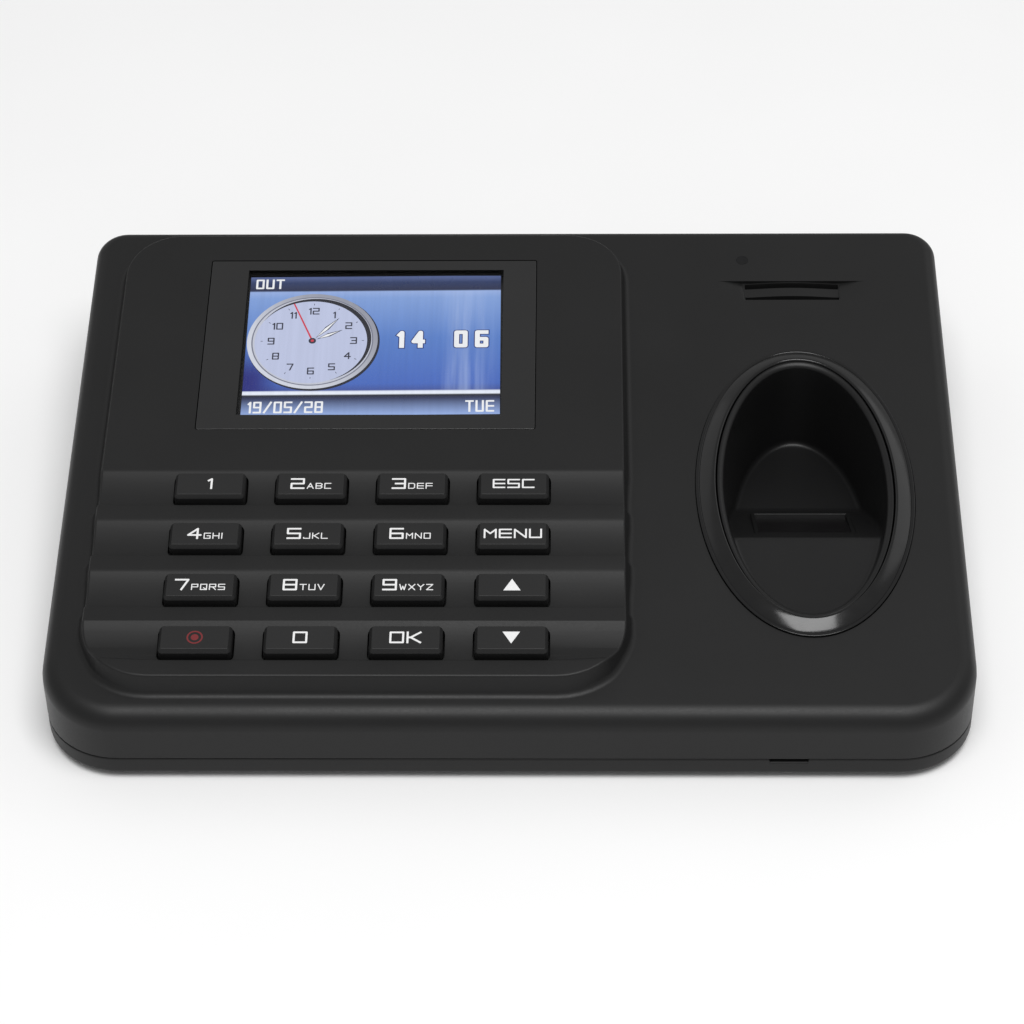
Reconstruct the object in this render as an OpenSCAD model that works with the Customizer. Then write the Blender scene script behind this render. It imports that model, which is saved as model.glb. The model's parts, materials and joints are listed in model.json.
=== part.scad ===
// Desktop fingerprint terminal: a wedge-shaped case with a raised panel for the display and keypad
// on the left, and an oval finger well with its optical reader on the right.
// X runs left to right, Y from front to back, Z up. The origin is the middle of the base, on the table.

/* [Case] */
// Width of the case, left to right
body_w = 166; // [160:1:176]
// Depth of the case, front to back
body_d = 120; // [118:1:126]
// Height of the case's front top edge above the table
front_h = 15.2; // [14.5:0.1:17]
// Slope of the case's top face, in degrees
top_slope = 7.3; // [7.1:0.1:7.8]
// Height of the joint between the two case halves above the table
split_z = 5; // [4.6:0.1:5.4]
// Thickness of the outer walls
wall = 2.2; // [2:0.1:2.4]
// Thickness of the top face beside the panel
skin = 2.4; // [2.2:0.1:2.6]
// Plan radius of the two front corners
front_r = 14; // [12:0.5:16]
// Plan radius of the two back corners
back_r = 6; // [5:0.5:9]
// Rounding along the top front edge
edge_r = 3.5; // [2:0.5:4]
// Rounding along the top back edge
back_edge_r = 2.6; // [2:0.1:3]

/* [Raised panel] */
// Width of the raised panel
panel_w = 96.6; // [96:0.2:98]
// Length of the raised panel along its slope
panel_l = 109.6; // [109:0.1:110]
// Centre line of the panel and the display, from the middle of the case
panel_x = -27.4; // [-28:0.1:-27]
// Height of the panel's front edge above the case's top face
panel_rise = 3.6; // [3.4:0.1:4]
// Slope of the panel, in degrees
panel_slope = 6.8; // [6.6:0.1:7]
// Thickness of the panel
panel_skin = 3.2; // [3.1:0.1:3.4]

/* [Keypad] */
// Distance between key columns
column_pitch = 18.6; // [18.2:0.1:18.8]
// Distance between key rows, along the panel
row_pitch = 11.97; // [11.9:0.01:12.1]
// Width of one key
key_w = 13; // [12.5:0.1:13.3]
// Length of one key, along the panel
key_l = 6.1; // [5.8:0.1:6.3]
// Height of the key tops above the panel
key_proud = 1.3; // [1:0.1:1.8]
// How far a key travels
key_travel = 1; // [0.8:0.1:1]
// Clearance around each key in its hole
key_gap = 0.35; // [0.3:0.05:0.45]
// Depth of the groove that each row of keys stands in
groove_depth = 1.8; // [1:0.1:1.9]

/* [Display] */
// Width of the display window
lens_w = 63.5; // [62:0.1:65]
// Length of the display window, along the panel
lens_l = 44.4; // [44:0.1:45]
// Width of the display's picture
picture_w = 48.96; // [48:0.04:49.6]
// Height of the display's picture
picture_l = 36.72; // [36:0.04:37.2]

/* [Finger well] */
// Centre of the finger well, from the middle of the case
well_x = 54.3; // [54:0.1:55]
// Centre of the finger well, front to back
well_y = -7.6; // [-8:0.1:-7]
// Half width of the well's mouth
mouth_a = 14.9; // [14:0.1:15.2]
// Half length of the well's mouth
mouth_b = 29.75; // [29:0.05:30]
// Half width of the trim ring, outside
ring_a = 20.15; // [19.8:0.05:20.4]
// Half length of the trim ring, outside
ring_b = 34.7; // [34.3:0.1:35]
// Height of the trim ring above the top face
ring_proud = 1.6; // [1:0.1:2]
// Height of the well's floor above the table
well_floor = 6.5; // [6.3:0.1:7]
// Slope of the reader's face, in degrees
reader_slope = 31; // [30:0.5:33]

/* [Sockets] */
// Centre of the power socket, from the middle of the case
power_x = -36; // [-38:1:-34]
// Centre of the USB socket, from the middle of the case
usb_x = -56; // [-58:1:-54]

/* [Hidden] */
$fn = 48;

// Heights of the base
foot_proud = 1;
foot_r = 5;
foot_h = 1.6;
floor_t = 2;
floor_top = foot_proud + floor_t;
lip_t = 1;
lip_h = 1.5;
fit_gap = 0.15;
hair = 0.05;
far = 200;

// Raised panel: its front edge, and where its underside and board lie below its face
panel_y = -53.7;
panel_z = front_h + (panel_y + body_d / 2) * tan(top_slope) + panel_rise;
panel_front_r = 12;
panel_back_r = 10;
panel_wall = 2;
board_top = -6.4;
board_t = 1.6;
board_under = board_top - board_t;
board_left = -71;
board_right = 17.5;
board_front = 2.2;
board_back = 108.5;
board_posts = [for (x = [-67.8, 14]) for (v = [7, 54, 104]) [x, v]];
post_r = 2.6;
post_bore_r = 1.05;
post_screw_r = 1;

// Keypad: the grooves' cross-section repeats with each row
columns = 4;
rows = 4;
first_key_v = 4.45;
last_key_x = 0.6;
groove_front = 3.6;
groove_riser = 0.7;
groove_floor_end = 9.9;
groove_back = 12;
key_flange = 0.75;
flange_t = 1;
flange_top = -panel_skin - 0.1;
flange_under = flange_top - flange_t;
mat_top = flange_under - key_travel - 0.1;
dome_r = 2.7;
key_chamfer = 0.5;

// Display
lens_v = 80.3;
lens_t = 1.6;
tape_t = 0.2;
window_w = 57;
window_l = 41.6;
picture_v = 81.9;
glass_w = picture_w + 4;
glass_l = picture_l + 3;
glass_top = -2.1;
glass_t = 1.3;
frame_w = 60.3;
frame_l = 42.7;
frame_under = board_top + 0.3;

// Finger well: shelf at the front, reader slope, flat floor, tapered oval wall
shelf_depth = 2;
crest_y = -17.4;
crest_z = front_h + (crest_y + body_d / 2) * tan(top_slope) - shelf_depth;
slope_l = (crest_z - well_floor) / sin(reader_slope);
well_wall = 1.4;
well_taper_a = 0.83;
well_taper_b = 0.93;
well_deep = 20;
rim_top = 0.9;
ring_sink = 0.8;
well_flange_top = -4.4;
well_flange_t = 1.6;
well_ears = [for (sx = [-1, 1]) for (sy = [-1, 1]) [sx * 17, sy * 22]];
window_from = 4.6;
window_to = 18;
window_half = 8.5;
window_t = 1.6;
prism_h = 5.5;
housing_half = 10.6;
reader_posts = [-13.4, 13.4];

// Case screws
screw_x = 75;
screw_y = 51;
boss_r = 3.5;
screw_r = 1.45;
screw_bore_r = 1.5;
head_r = 2.7;
head_t = 1.6;

// Speaker and status light, along the top face
speaker_x = 54.2;
louvre_y = 42.7;
louvre_w = 28.8;
louvre_l = 5.3;
slot_w = 18.2;
slot_l = 1.3;
speaker_w = 24;
speaker_l = 15;
speaker_t = 4.2;
light_x = 44.8;
light_y = 51;
light_r = 1.1;

// Sockets, hung under the board's back edge
usb_w = 13.1;
usb_h = 6.2;
usb_len = 14;
jack_w = 9;
jack_h = 11;
jack_len = 14;
jack_bore_r = 2.85;
jack_pin_r = 1.05;
socket_back = 109.2;
jack_drop = 6.4;

// Height of the case's top face at a place front to back
function top_z(y) = front_h + (y + body_d / 2) * tan(top_slope);

// Points of an arc, for outlines
function arc(cx, cy, r, from, to, steps = 8) =
    [for (i = [0:steps]) let (a = from + (to - from) * i / steps) [cx + r * cos(a), cy + r * sin(a)]];

// Points of an oval
function oval(a, b, steps = 72) = [for (i = [0:steps - 1]) [a * cos(360 * i / steps), b * sin(360 * i / steps)]];

// Frames: on the top face over the well, on the raised panel, and on the reader's slope
module on_top(x, y) {
    translate([x, y, top_z(y)]) rotate([top_slope, 0, 0]) children();
}
module on_panel() {
    translate([0, panel_y, panel_z]) rotate([panel_slope, 0, 0]) children();
}
module on_reader() {
    translate([well_x, crest_y, crest_z]) rotate([-reader_slope, 0, 0]) children();
}

// A block between two corners
module block(low, high) {
    translate(low) cube(high - low);
}

// A side-view outline (front to back, up), carried across a width
module across(from, to) {
    translate([from, 0, 0]) rotate([90, 0, 90]) linear_extrude(to - from) children();
}

// A rectangle with its own front and back corner radii
module rounded_plan(w, d, rf, rb) {
    difference() {
        square([w, d], center = true);
        for (s = [-1, 1]) {
            corner_cut(s * (w / 2 - rf), -(d / 2 - rf), rf, s, -1);
            corner_cut(s * (w / 2 - rb), d / 2 - rb, rb, s, 1);
        }
    }
}
module corner_cut(x, y, r, sx, sy) {
    translate([x, y]) difference() {
        translate([sx > 0 ? 0 : -r - 1, sy > 0 ? 0 : -r - 1]) square(r + 1);
        circle(r, $fn = 64);
    }
}

// Wedge under the top face: inset from the outer walls, lowered from the top face
module wedge(inset, lowered, bottom) {
    half = body_d / 2 - inset;
    r = max(edge_r - inset, 0.5);
    rb = max(back_edge_r - inset, 0.5);
    front_top = top_z(-half) - lowered;
    back_top = top_z(half) - lowered;
    lean = r * tan((90 - top_slope) / 2);
    lean_back = rb * tan((90 + top_slope) / 2);
    intersection() {
        translate([0, 0, bottom])
            linear_extrude(far)
                rounded_plan(body_w - 2 * inset, body_d - 2 * inset, front_r - inset, back_r - inset);
        across(-far / 2, far / 2)
            polygon(concat(
                [[-half, bottom], [half, bottom]],
                arc(half - rb, back_top - lean_back, rb, 0, 90 + top_slope),
                arc(-half + r, front_top - lean, r, 90 + top_slope, 180)
            ));
    }
}

// ---- Case ----

module groove_outline() {
    for (k = [0:rows - 1])
        translate([k * row_pitch, 0])
            polygon([
                [groove_front, 0.01],
                [groove_front + groove_riser, -groove_depth],
                [groove_floor_end, -groove_depth],
                [groove_back, 0.01]
            ]);
}

module panel_outline(inset) {
    translate([panel_x, panel_l / 2])
        rounded_plan(panel_w - 2 * inset, panel_l - 2 * inset, panel_front_r - inset, panel_back_r - inset);
}

module at_each_key() {
    for (c = [0:columns - 1])
        for (k = [0:rows - 1])
            at_key(c, k) children();
}

// Columns count from the left, rows from the front
module at_key(column, row) {
    translate([last_key_x + (column - columns + 1) * column_pitch, first_key_v + key_l / 2 + row * row_pitch, 0]) children();
}

module case_posts() {
    for (sx = [-1, 1])
        for (sy = [-1, 1])
            translate([sx * screw_x, sy * screw_y, split_z])
                cylinder(r = boss_r, h = top_z(sy * screw_y - boss_r) - split_z - 1);
}

module top_case_solid() {
    difference() {
        union() {
            wedge(0, 0, split_z);
            on_panel() translate([0, 0, -8]) linear_extrude(8) panel_outline(0);
        }
        wedge(wall, skin, split_z - 1);
        on_panel() translate([0, 0, -panel_skin - 12]) linear_extrude(12) panel_outline(panel_wall);
    }
    case_posts();
    on_panel()
        for (p = board_posts)
            translate([p[0], p[1], board_top])
                cylinder(r = post_r, h = -panel_skin - board_top + 0.2);
    on_top(well_x, well_y)
        for (p = well_ears)
            translate([p[0], p[1], well_flange_top])
                cylinder(r = post_r, h = -skin - well_flange_top + 0.2);
    on_top(light_x, light_y)
        for (sx = [-1, 1])
            translate([sx * 2.6 - 0.2, 0, -6])
                cylinder(r = 0.8, h = 6 - skin + 0.2);
}

module top_case_cuts() {
    // Key holes, grooves and the display's recess and window
    on_panel() {
        at_each_key()
            block([-key_w / 2 - key_gap, -key_l / 2 - key_gap, -20], [key_w / 2 + key_gap, key_l / 2 + key_gap, 3]);
        across(panel_x - far / 2, panel_x + far / 2) groove_outline();
        translate([panel_x, lens_v, 0])
            block([-lens_w / 2 - 0.1, -lens_l / 2 - 0.1, -lens_t - tape_t], [lens_w / 2 + 0.1, lens_l / 2 + 0.1, 5]);
        translate([panel_x, picture_v - 0.4, 0])
            block([-window_w / 2, -window_l / 2, -9], [window_w / 2, window_l / 2, 5]);
        for (p = board_posts)
            translate([p[0], p[1], board_top - 1])
                cylinder(r = post_bore_r, h = 5);
        power_cut();
        usb_cut();
    }
    // Well mouth, the ring's seat and the well's screw bores
    on_top(well_x, well_y) {
        translate([0, 0, -12]) linear_extrude(24) polygon(oval(mouth_a + well_wall + 0.2, mouth_b + well_wall + 0.2));
        translate([0, 0, -ring_sink]) linear_extrude(24) polygon(oval(ring_a + 0.1, ring_b + 0.1));
        for (p = well_ears)
            translate([p[0], p[1], well_flange_top - 1])
                cylinder(r = 0.95, h = 4);
    }
    // Speaker louvre and status light
    on_top(speaker_x, louvre_y) {
        block([-louvre_w / 2, -louvre_l / 2, -0.9], [louvre_w / 2, louvre_l / 2, 5]);
        for (s = [-1, 1])
            translate([0, s * (louvre_l / 2 - slot_l / 2 - 0.25), 0])
                block([-slot_w / 2, -slot_l / 2, -9], [slot_w / 2, slot_l / 2, 5]);
    }
    on_top(light_x, light_y) translate([0, 0, -9]) cylinder(r = light_r + hair, h = 20);
    // Screw bores in the corner posts
    for (sx = [-1, 1])
        for (sy = [-1, 1])
            translate([sx * screw_x, sy * screw_y, split_z - 1])
                cylinder(r = screw_bore_r, h = 8.6);
}

module power_cut() {
    translate([power_x, board_back - 8, board_under - jack_drop])
        rotate([-90, 0, 0]) cylinder(r = 5.2, h = 30);
}

module usb_cut() {
    block([usb_x - 7.2, board_back - 8, board_under - usb_h - 0.5], [usb_x + 7.2, board_back + 30, board_under + 0.5]);
}

module top_case() {
    color("#2b2b2c") difference() {
        top_case_solid();
        top_case_cuts();
    }
}

module bottom_case() {
    color("#29292a") difference() {
        union() {
            difference() {
                translate([0, 0, foot_proud])
                    linear_extrude(split_z - foot_proud) rounded_plan(body_w, body_d, front_r, back_r);
                translate([0, 0, floor_top])
                    linear_extrude(far)
                        rounded_plan(body_w - 2 * wall, body_d - 2 * wall, front_r - wall, back_r - wall);
            }
            tongue();
            for (sx = [-1, 1])
                for (sy = [-1, 1])
                    translate([sx * screw_x, sy * screw_y, floor_top - 0.5])
                        cylinder(r = boss_r + 0.6, h = split_z - floor_top + 0.5 - hair);
        }
        for (sx = [-1, 1])
            for (sy = [-1, 1]) {
                translate([sx * screw_x, sy * screw_y, 0]) cylinder(r = screw_r + 0.3, h = 20);
                translate([sx * screw_x, sy * screw_y, 0]) cylinder(r = head_r + 0.3, h = floor_top + 0.2);
                translate([sx * foot_x(), sy * foot_y(), 0]) cylinder(r = foot_r + 0.1, h = foot_h);
            }
        // Pry notch in the front joint, and the vents under the board
        block([46, -body_d / 2 - 1, split_z - 0.7], [53, -body_d / 2 + 1, split_z + 1]);
        for (i = [-3:3])
            block([panel_x + i * 7 - 1, 6, 0], [panel_x + i * 7 + 1, 30, floor_top + 1]);
    }
}

// Tongue that locates the top case's walls from inside
module tongue() {
    outer = wall + fit_gap;
    inner = outer + lip_t;
    translate([0, 0, floor_top - 0.5])
        linear_extrude(split_z - floor_top + 0.5 + lip_h)
            difference() {
                rounded_plan(body_w - 2 * outer, body_d - 2 * outer, front_r - outer, back_r - outer);
                rounded_plan(body_w - 2 * inner, body_d - 2 * inner, front_r - inner, back_r - inner);
                for (s = [-1, 1])
                    for (t = [-1, 1])
                        translate([s * screw_x, t * screw_y]) square(2 * boss_r + 5, center = true);
            }
    // The tongue's foot joins the wall below the joint
    translate([0, 0, floor_top - 0.5])
        linear_extrude(split_z - floor_top + 0.5)
            difference() {
                rounded_plan(body_w - 2 * wall + 1, body_d - 2 * wall + 1, front_r - wall + 0.5, back_r - wall + 0.5);
                rounded_plan(body_w - 2 * inner, body_d - 2 * inner, front_r - inner, back_r - inner);
            }
}

function foot_x() = screw_x - 13;
function foot_y() = screw_y - 1;

module foot(sx, sy) {
    color("#1c1c1c") translate([sx * foot_x(), sy * foot_y(), 0]) {
        cylinder(r = foot_r, h = foot_h);
    }
}

// ---- Display ----

module display_lens() {
    color("#303032") on_panel() translate([panel_x, lens_v, 0])
        block([-lens_w / 2, -lens_l / 2, -lens_t], [lens_w / 2, lens_l / 2, 0]);
}

module lens_tape() {
    color("#151515") on_panel() translate([panel_x, lens_v, -lens_t - tape_t])
        linear_extrude(tape_t) difference() {
            square([lens_w - 0.4, lens_l - 0.4], center = true);
            translate([0, picture_v - 0.4 - lens_v]) square([window_w, window_l], center = true);
        }
}

module display_panel() {
    color("#6f92cc") on_panel() translate([panel_x, picture_v, 0])
        block([-glass_w / 2, -glass_l / 2, glass_top - glass_t], [glass_w / 2, glass_l / 2, glass_top]);
}

module display_frame() {
    color("#b9bcc0") on_panel() translate([panel_x, picture_v, 0])
        block([-frame_w / 2, -frame_l / 2, frame_under], [frame_w / 2, frame_l / 2, glass_top - glass_t]);
}

module display_flex() {
    front = picture_v - frame_l / 2;
    color("#b87a2c") on_panel() translate([panel_x, 0, 0]) {
        block([-10, front - 8.4, board_top + 0.1], [10, front, board_top + 0.3]);
        block([-10, front - 0.2, board_top + 0.1], [10, front, board_top + 2.4]);
    }
}

// ---- Main board ----

module main_board() {
    color("#1d5b3a") on_panel() difference() {
        block([board_left, board_front, board_under], [board_right, board_back, board_top]);
        for (p = board_posts)
            translate([p[0], p[1], board_under - 1]) cylinder(r = post_screw_r + 0.25, h = board_t + 2);
    }
}

module board_chips() {
    color("#1a1a1c") on_panel() {
        translate([-30, 62, 0]) block([-7, -7, board_under - 1.4], [7, 7, board_under]);
        translate([-12, 66, 0]) block([-4, -6, board_under - 1.1], [4, 6, board_under]);
        translate([-50, 70, 0]) block([-3, -4.5, board_under - 1.6], [3, 4.5, board_under]);
        translate([-52, 84, 0]) block([-3, -3, board_under - 1.6], [3, 3, board_under]);
        translate([panel_x, 50.2, 0]) block([-11, -1.3, board_top], [11, 1.3, board_top + 1.8]);
    }
}

module board_capacitors() {
    color("#8d9299") on_panel() {
        for (x = [-18, -10, -2])
            translate([x, 94, board_under - 6]) cylinder(r = 3, h = 6);
        for (x = [0, 7])
            translate([x, 78, board_under - 5]) cylinder(r = 2.5, h = 5);
    }
}

module cell_holder() {
    color("#222426") on_panel() translate([-45, 30, 0]) {
        difference() {
            translate([0, 0, board_under - 4.4]) cylinder(r = 11.6, h = 4.4);
            translate([0, 0, board_under - 5]) cylinder(r = 10.1, h = 4);
            block([-4, -14, board_under - 5], [4, 0, board_under - 1]);
        }
    }
}

module coin_cell() {
    color("#c9ccd0") on_panel() translate([-45, 30, board_under - 4.2]) cylinder(r = 10, h = 3.2);
}

module usb_socket() {
    color("#c3c6ca") on_panel() translate([usb_x, socket_back, board_under - usb_h]) {
        difference() {
            block([-usb_w / 2, -usb_len, 0], [usb_w / 2, 0, usb_h]);
            block([-usb_w / 2 + 0.4, -usb_len + 2.5, 0.4], [usb_w / 2 - 0.4, 1, usb_h - 0.4]);
        }
        block([-5.6, -usb_len + 2, usb_h - 2.8], [5.6, -0.8, usb_h - 0.9]);
    }
}

module power_socket() {
    color("#1b1b1d") on_panel() translate([power_x, socket_back, board_under - jack_drop]) {
        difference() {
            union() {
                block([-jack_w / 2, -jack_len, jack_drop - jack_h], [jack_w / 2, -3.4, jack_drop]);
                block([-jack_w / 2, -3.5, -jack_w / 2], [jack_w / 2, 0, jack_w / 2]);
            }
            rotate([90, 0, 0]) translate([0, 0, -1]) cylinder(r = jack_bore_r, h = 10.5);
        }
        rotate([90, 0, 0]) translate([0, 0, 0.6]) cylinder(r = jack_pin_r, h = 9.4);
    }
}

// ---- Keypad ----

module keypad_mat() {
    low = first_key_v - 1.2;
    high = first_key_v + (rows - 1) * row_pitch + key_l + 1.2;
    side = (columns - 1) * column_pitch;
    color("#c8c9c6") on_panel() {
        block([last_key_x - side - key_w / 2 - 1.4, low, board_top], [last_key_x + key_w / 2 + 1.4, high, mat_top]);
        at_each_key() translate([0, 0, mat_top - 0.2]) cylinder(r = dome_r, h = flange_under - mat_top + 0.2);
    }
}

module keycap(column, row, shade) {
    w = key_w / 2;
    l = key_l / 2;
    c = key_chamfer;
    color(shade) on_panel() at_key(column, row) {
        intersection() {
            translate([0, l, 0]) rotate([90, 0, 0]) linear_extrude(key_l)
                polygon([[-w, flange_top - 0.2], [w, flange_top - 0.2], [w, key_proud - c], [w - c, key_proud],
                    [c - w, key_proud], [-w, key_proud - c]]);
            across(-w, w)
                polygon([[-l, flange_top - 0.2], [l, flange_top - 0.2], [l, key_proud - c], [l - c, key_proud],
                    [c - l, key_proud], [-l, key_proud - c]]);
        }
        block([-w - key_flange, -l - key_flange, flange_under], [w + key_flange, l + key_flange, flange_top]);
    }
}

// ---- Finger well and reader ----

// Side view of the free space over the shelf, the reader's slope and the well's floor
module well_space() {
    polygon([
        [-body_d / 2, top_z(-body_d / 2) - shelf_depth],
        [crest_y, crest_z],
        [crest_y + slope_l * cos(reader_slope), well_floor],
        [body_d / 2, well_floor],
        [body_d / 2, 60],
        [-body_d / 2, 60]
    ]);
}

// Tapered oval column, square to the top face, grown by a wall thickness, up to a height above the face
module well_column(grow, top) {
    a = mouth_a + grow;
    b = mouth_b + grow;
    widen_a = 1 / well_taper_a + (1 / well_taper_a - 1) * top / well_deep;
    widen_b = 1 / well_taper_b + (1 / well_taper_b - 1) * top / well_deep;
    on_top(well_x, well_y)
        translate([0, 0, -well_deep])
            linear_extrude(well_deep + top, scale = [widen_a, widen_b], slices = 1)
                polygon(oval(a * well_taper_a, b * well_taper_b));
}

module finger_well() {
    color("#242425") difference() {
        union() {
            intersection() {
                well_column(well_wall, rim_top);
                across(0, far) translate([-0.9, -1.6]) well_space();
            }
            on_top(well_x, well_y) translate([0, 0, well_flange_top - well_flange_t])
                linear_extrude(well_flange_t) {
                    polygon(oval(mouth_a + 4, mouth_b + 4));
                    for (p = well_ears) translate(p) circle(3.6);
                }
            // Posts for the reader's housing
            on_reader()
                for (x = reader_posts)
                    translate([x, 9, -5.2]) cylinder(r = 1.9, h = 4.4);
        }
        intersection() {
            well_column(0, 4);
            across(0, far) well_space();
        }
        on_reader() {
            block([-window_half - 0.1, window_from - 0.1, -9], [window_half + 0.1, window_to + 0.1, 1]);
            for (x = reader_posts)
                translate([x, 9, -6]) cylinder(r = 0.85, h = 4);
        }
        on_top(well_x, well_y)
            for (p = well_ears)
                translate([p[0], p[1], well_flange_top - 9]) cylinder(r = 1.2, h = 10);
    }
}

module well_ring() {
    gap = 0.2;
    low_a = mouth_a + well_wall + gap;
    low_b = mouth_b + well_wall + gap;
    color("#111112") on_top(well_x, well_y) translate([0, 0, -ring_sink]) {
        ring_step(low_a, low_b, 0, ring_sink + 0.7);
        ring_step(low_a, low_b, 0.7, ring_sink + 1.2);
        ring_step(low_a + 0.3, low_b + 0.3, 1.4, ring_sink + ring_proud);
    }
}

// One oval layer of the ring, drawn in from the outside by an inset
module ring_step(a, b, inset, h) {
    linear_extrude(h) difference() {
        polygon(oval(ring_a - inset, ring_b - inset));
        polygon(oval(a, b));
    }
}

module reader_window() {
    color("#39424a") on_reader()
        block([-window_half, window_from, -window_t], [window_half, window_to, 0]);
}

module reader_prism() {
    color("#8fa3ad") on_reader()
        across(-window_half + 0.6, window_half - 0.6)
            polygon([[window_from + 0.6, -window_t - hair], [window_to - 0.6, -window_t - hair],
                [window_to - 5, -window_t - prism_h + 2], [window_from + 0.6, -window_t - prism_h]]);
}

module reader_housing() {
    color("#1e1e20") intersection() {
        on_reader() difference() {
            union() {
                block([-housing_half, window_from - 2.2, -12], [housing_half, window_to + 1.6, -5.2]);
                block([reader_posts[0] - 2.6, 6, -7], [reader_posts[1] + 2.6, 12, -5.3]);
            }
            block([-window_half - 0.2, window_from + 0.2, -5.6 - window_t], [window_half + 0.2, window_to - 0.2, 0]);
            for (x = reader_posts)
                translate([x, 9, -8]) cylinder(r = 1.1, h = 6);
            // Light path to the camera lens at the front
            translate([0, window_from - 3, -8.6]) rotate([-90, 0, 0]) cylinder(r = 2.6, h = 8);
        }
        block([0, -80, floor_top + 0.6], [far, 80, 60]);
    }
}

module reader_lens() {
    color("#2a2d33") on_reader() translate([0, window_from - 2.1, -8.6])
        rotate([-90, 0, 0]) cylinder(r = 2.5, h = 2.6);
}

module reader_board() {
    color("#1d5b3a") on_reader()
        block([-housing_half, window_from - 3.9, -12], [housing_half, window_from - 2.3, -5]);
}

// Ribbon from the front of the reader's board to the underside of the main board
module reader_cable() {
    y = crest_y - 9;
    z = crest_z - 9.65;
    color("#d8d4c8") {
        block([9, y - 4, z], [well_x - 3, y + 4, z + 0.6]);
        block([9, y - 4, z + 0.5], [9.6, y + 4, z + 5.2]);
    }
}

// ---- Sound and light ----

module speaker() {
    color("#3a3a3c") on_top(speaker_x, louvre_y) translate([0, -2.5, -skin - 0.2 - speaker_t]) difference() {
        block([-speaker_w / 2, -speaker_l / 2, 0], [speaker_w / 2, speaker_l / 2, speaker_t]);
        translate([0, 0, speaker_t - 0.8]) block([-speaker_w / 2 + 2, -5.5, 0], [speaker_w / 2 - 2, 5.5, 2]);
    }
}

module speaker_cable() {
    color("#8c2f2a") {
        block([12, 39, 18.6], [47, 40.6, 19.8]);
        block([12, 39, 19.8], [13.2, 40.6, 21.2]);
        block([45.8, 39, 19.8], [47, 40.6, 20.7]);
    }
}

module status_lens() {
    color("#35393f") on_top(light_x, light_y) translate([0, 0, -3.9]) cylinder(r = light_r, h = 3.9);
}

module status_board() {
    color("#1d5b3a") on_top(light_x, light_y) {
        block([-3.9, -2.9, -7], [2.9, 2.9, -6]);
        block([-1, -1, -6], [1, 1, -4.1]);
    }
}

// ---- Fasteners ----

module case_screws() {
    color("#8b8e92")
        for (sx = [-1, 1])
            for (sy = [-1, 1])
                translate([sx * screw_x, sy * screw_y, 0]) difference() {
                    union() {
                        translate([0, 0, floor_top + 0.2 - head_t]) cylinder(r = head_r, h = head_t);
                        translate([0, 0, floor_top]) cylinder(r = screw_r, h = 8.8);
                    }
                    cross_recess(floor_top + 0.2 - head_t);
                }
}

// Cross recess, cut up into a screw head from its face
module cross_recess(face) {
    for (a = [0, 90])
        rotate([0, 0, a]) block([-1.5, -0.35, face - 1], [1.5, 0.35, face + 0.9]);
}

module small_screw(head, shaft, length) {
    difference() {
        union() {
            translate([0, 0, -1.4]) cylinder(r = head, h = 1.4);
            cylinder(r = shaft, h = length);
        }
        for (a = [0, 90])
            rotate([0, 0, a]) block([-1.1, -0.25, -2], [1.1, 0.25, -0.8]);
    }
}

module board_screws() {
    color("#b9bcc0") on_panel()
        for (p = board_posts)
            translate([p[0], p[1], board_under]) small_screw(2.1, post_screw_r, 5);
}

module well_screws() {
    color("#b9bcc0") on_top(well_x, well_y)
        for (p = well_ears)
            translate([p[0], p[1], well_flange_top - well_flange_t]) small_screw(1.9, 0.9, 4.2);
}

module reader_screws() {
    color("#b9bcc0") on_reader()
        for (x = reader_posts)
            translate([x, 9, -7]) small_screw(1.7, 0.8, 4.6);
}

top_case();
bottom_case();
display_lens();
lens_tape();
display_panel();
display_frame();
display_flex();
main_board();
board_chips();
board_capacitors();
coin_cell();
cell_holder();
usb_socket();
power_socket();
keypad_mat();
keycap(0, 3, "#333335");  // key_1
keycap(1, 3, "#333335");  // key_2
keycap(2, 3, "#333335");  // key_3
keycap(3, 3, "#3a3a3c");  // key_esc
keycap(0, 2, "#333335");  // key_4
keycap(1, 2, "#333335");  // key_5
keycap(2, 2, "#333335");  // key_6
keycap(3, 2, "#3a3a3c");  // key_menu
keycap(0, 1, "#333335");  // key_7
keycap(1, 1, "#333335");  // key_8
keycap(2, 1, "#333335");  // key_9
keycap(3, 1, "#3a3a3c");  // key_up
keycap(0, 0, "#5a2a2c");  // key_power
keycap(1, 0, "#333335");  // key_0
keycap(2, 0, "#333335");  // key_ok
keycap(3, 0, "#3a3a3c");  // key_down
well_ring();
finger_well();
reader_window();
reader_prism();
reader_housing();
reader_board();
reader_lens();
reader_cable();
speaker();
speaker_cable();
status_lens();
status_board();
case_screws();
board_screws();
well_screws();
reader_screws();
foot(-1, -1);  // foot_front_left
foot(1, -1);  // foot_front_right
foot(-1, 1);  // foot_back_left
foot(1, 1);  // foot_back_right
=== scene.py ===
# %% [markdown]
# # A desktop fingerprint terminal
# This lesson dresses a working model of a small time terminal: a wedge of black plastic with a
# raised panel for the display and keys, and an oval well for a finger. The working model already
# says where every part is and how the keys move. Here each part gets the shape and the finish
# that the real one has. Everything is measured in millimetres and turned into metres at the end.

# %% Load the working model
import json
import math

import bmesh
import bpy
from mathutils import Matrix, Vector
from mathutils.geometry import delaunay_2d_cdt


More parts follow.
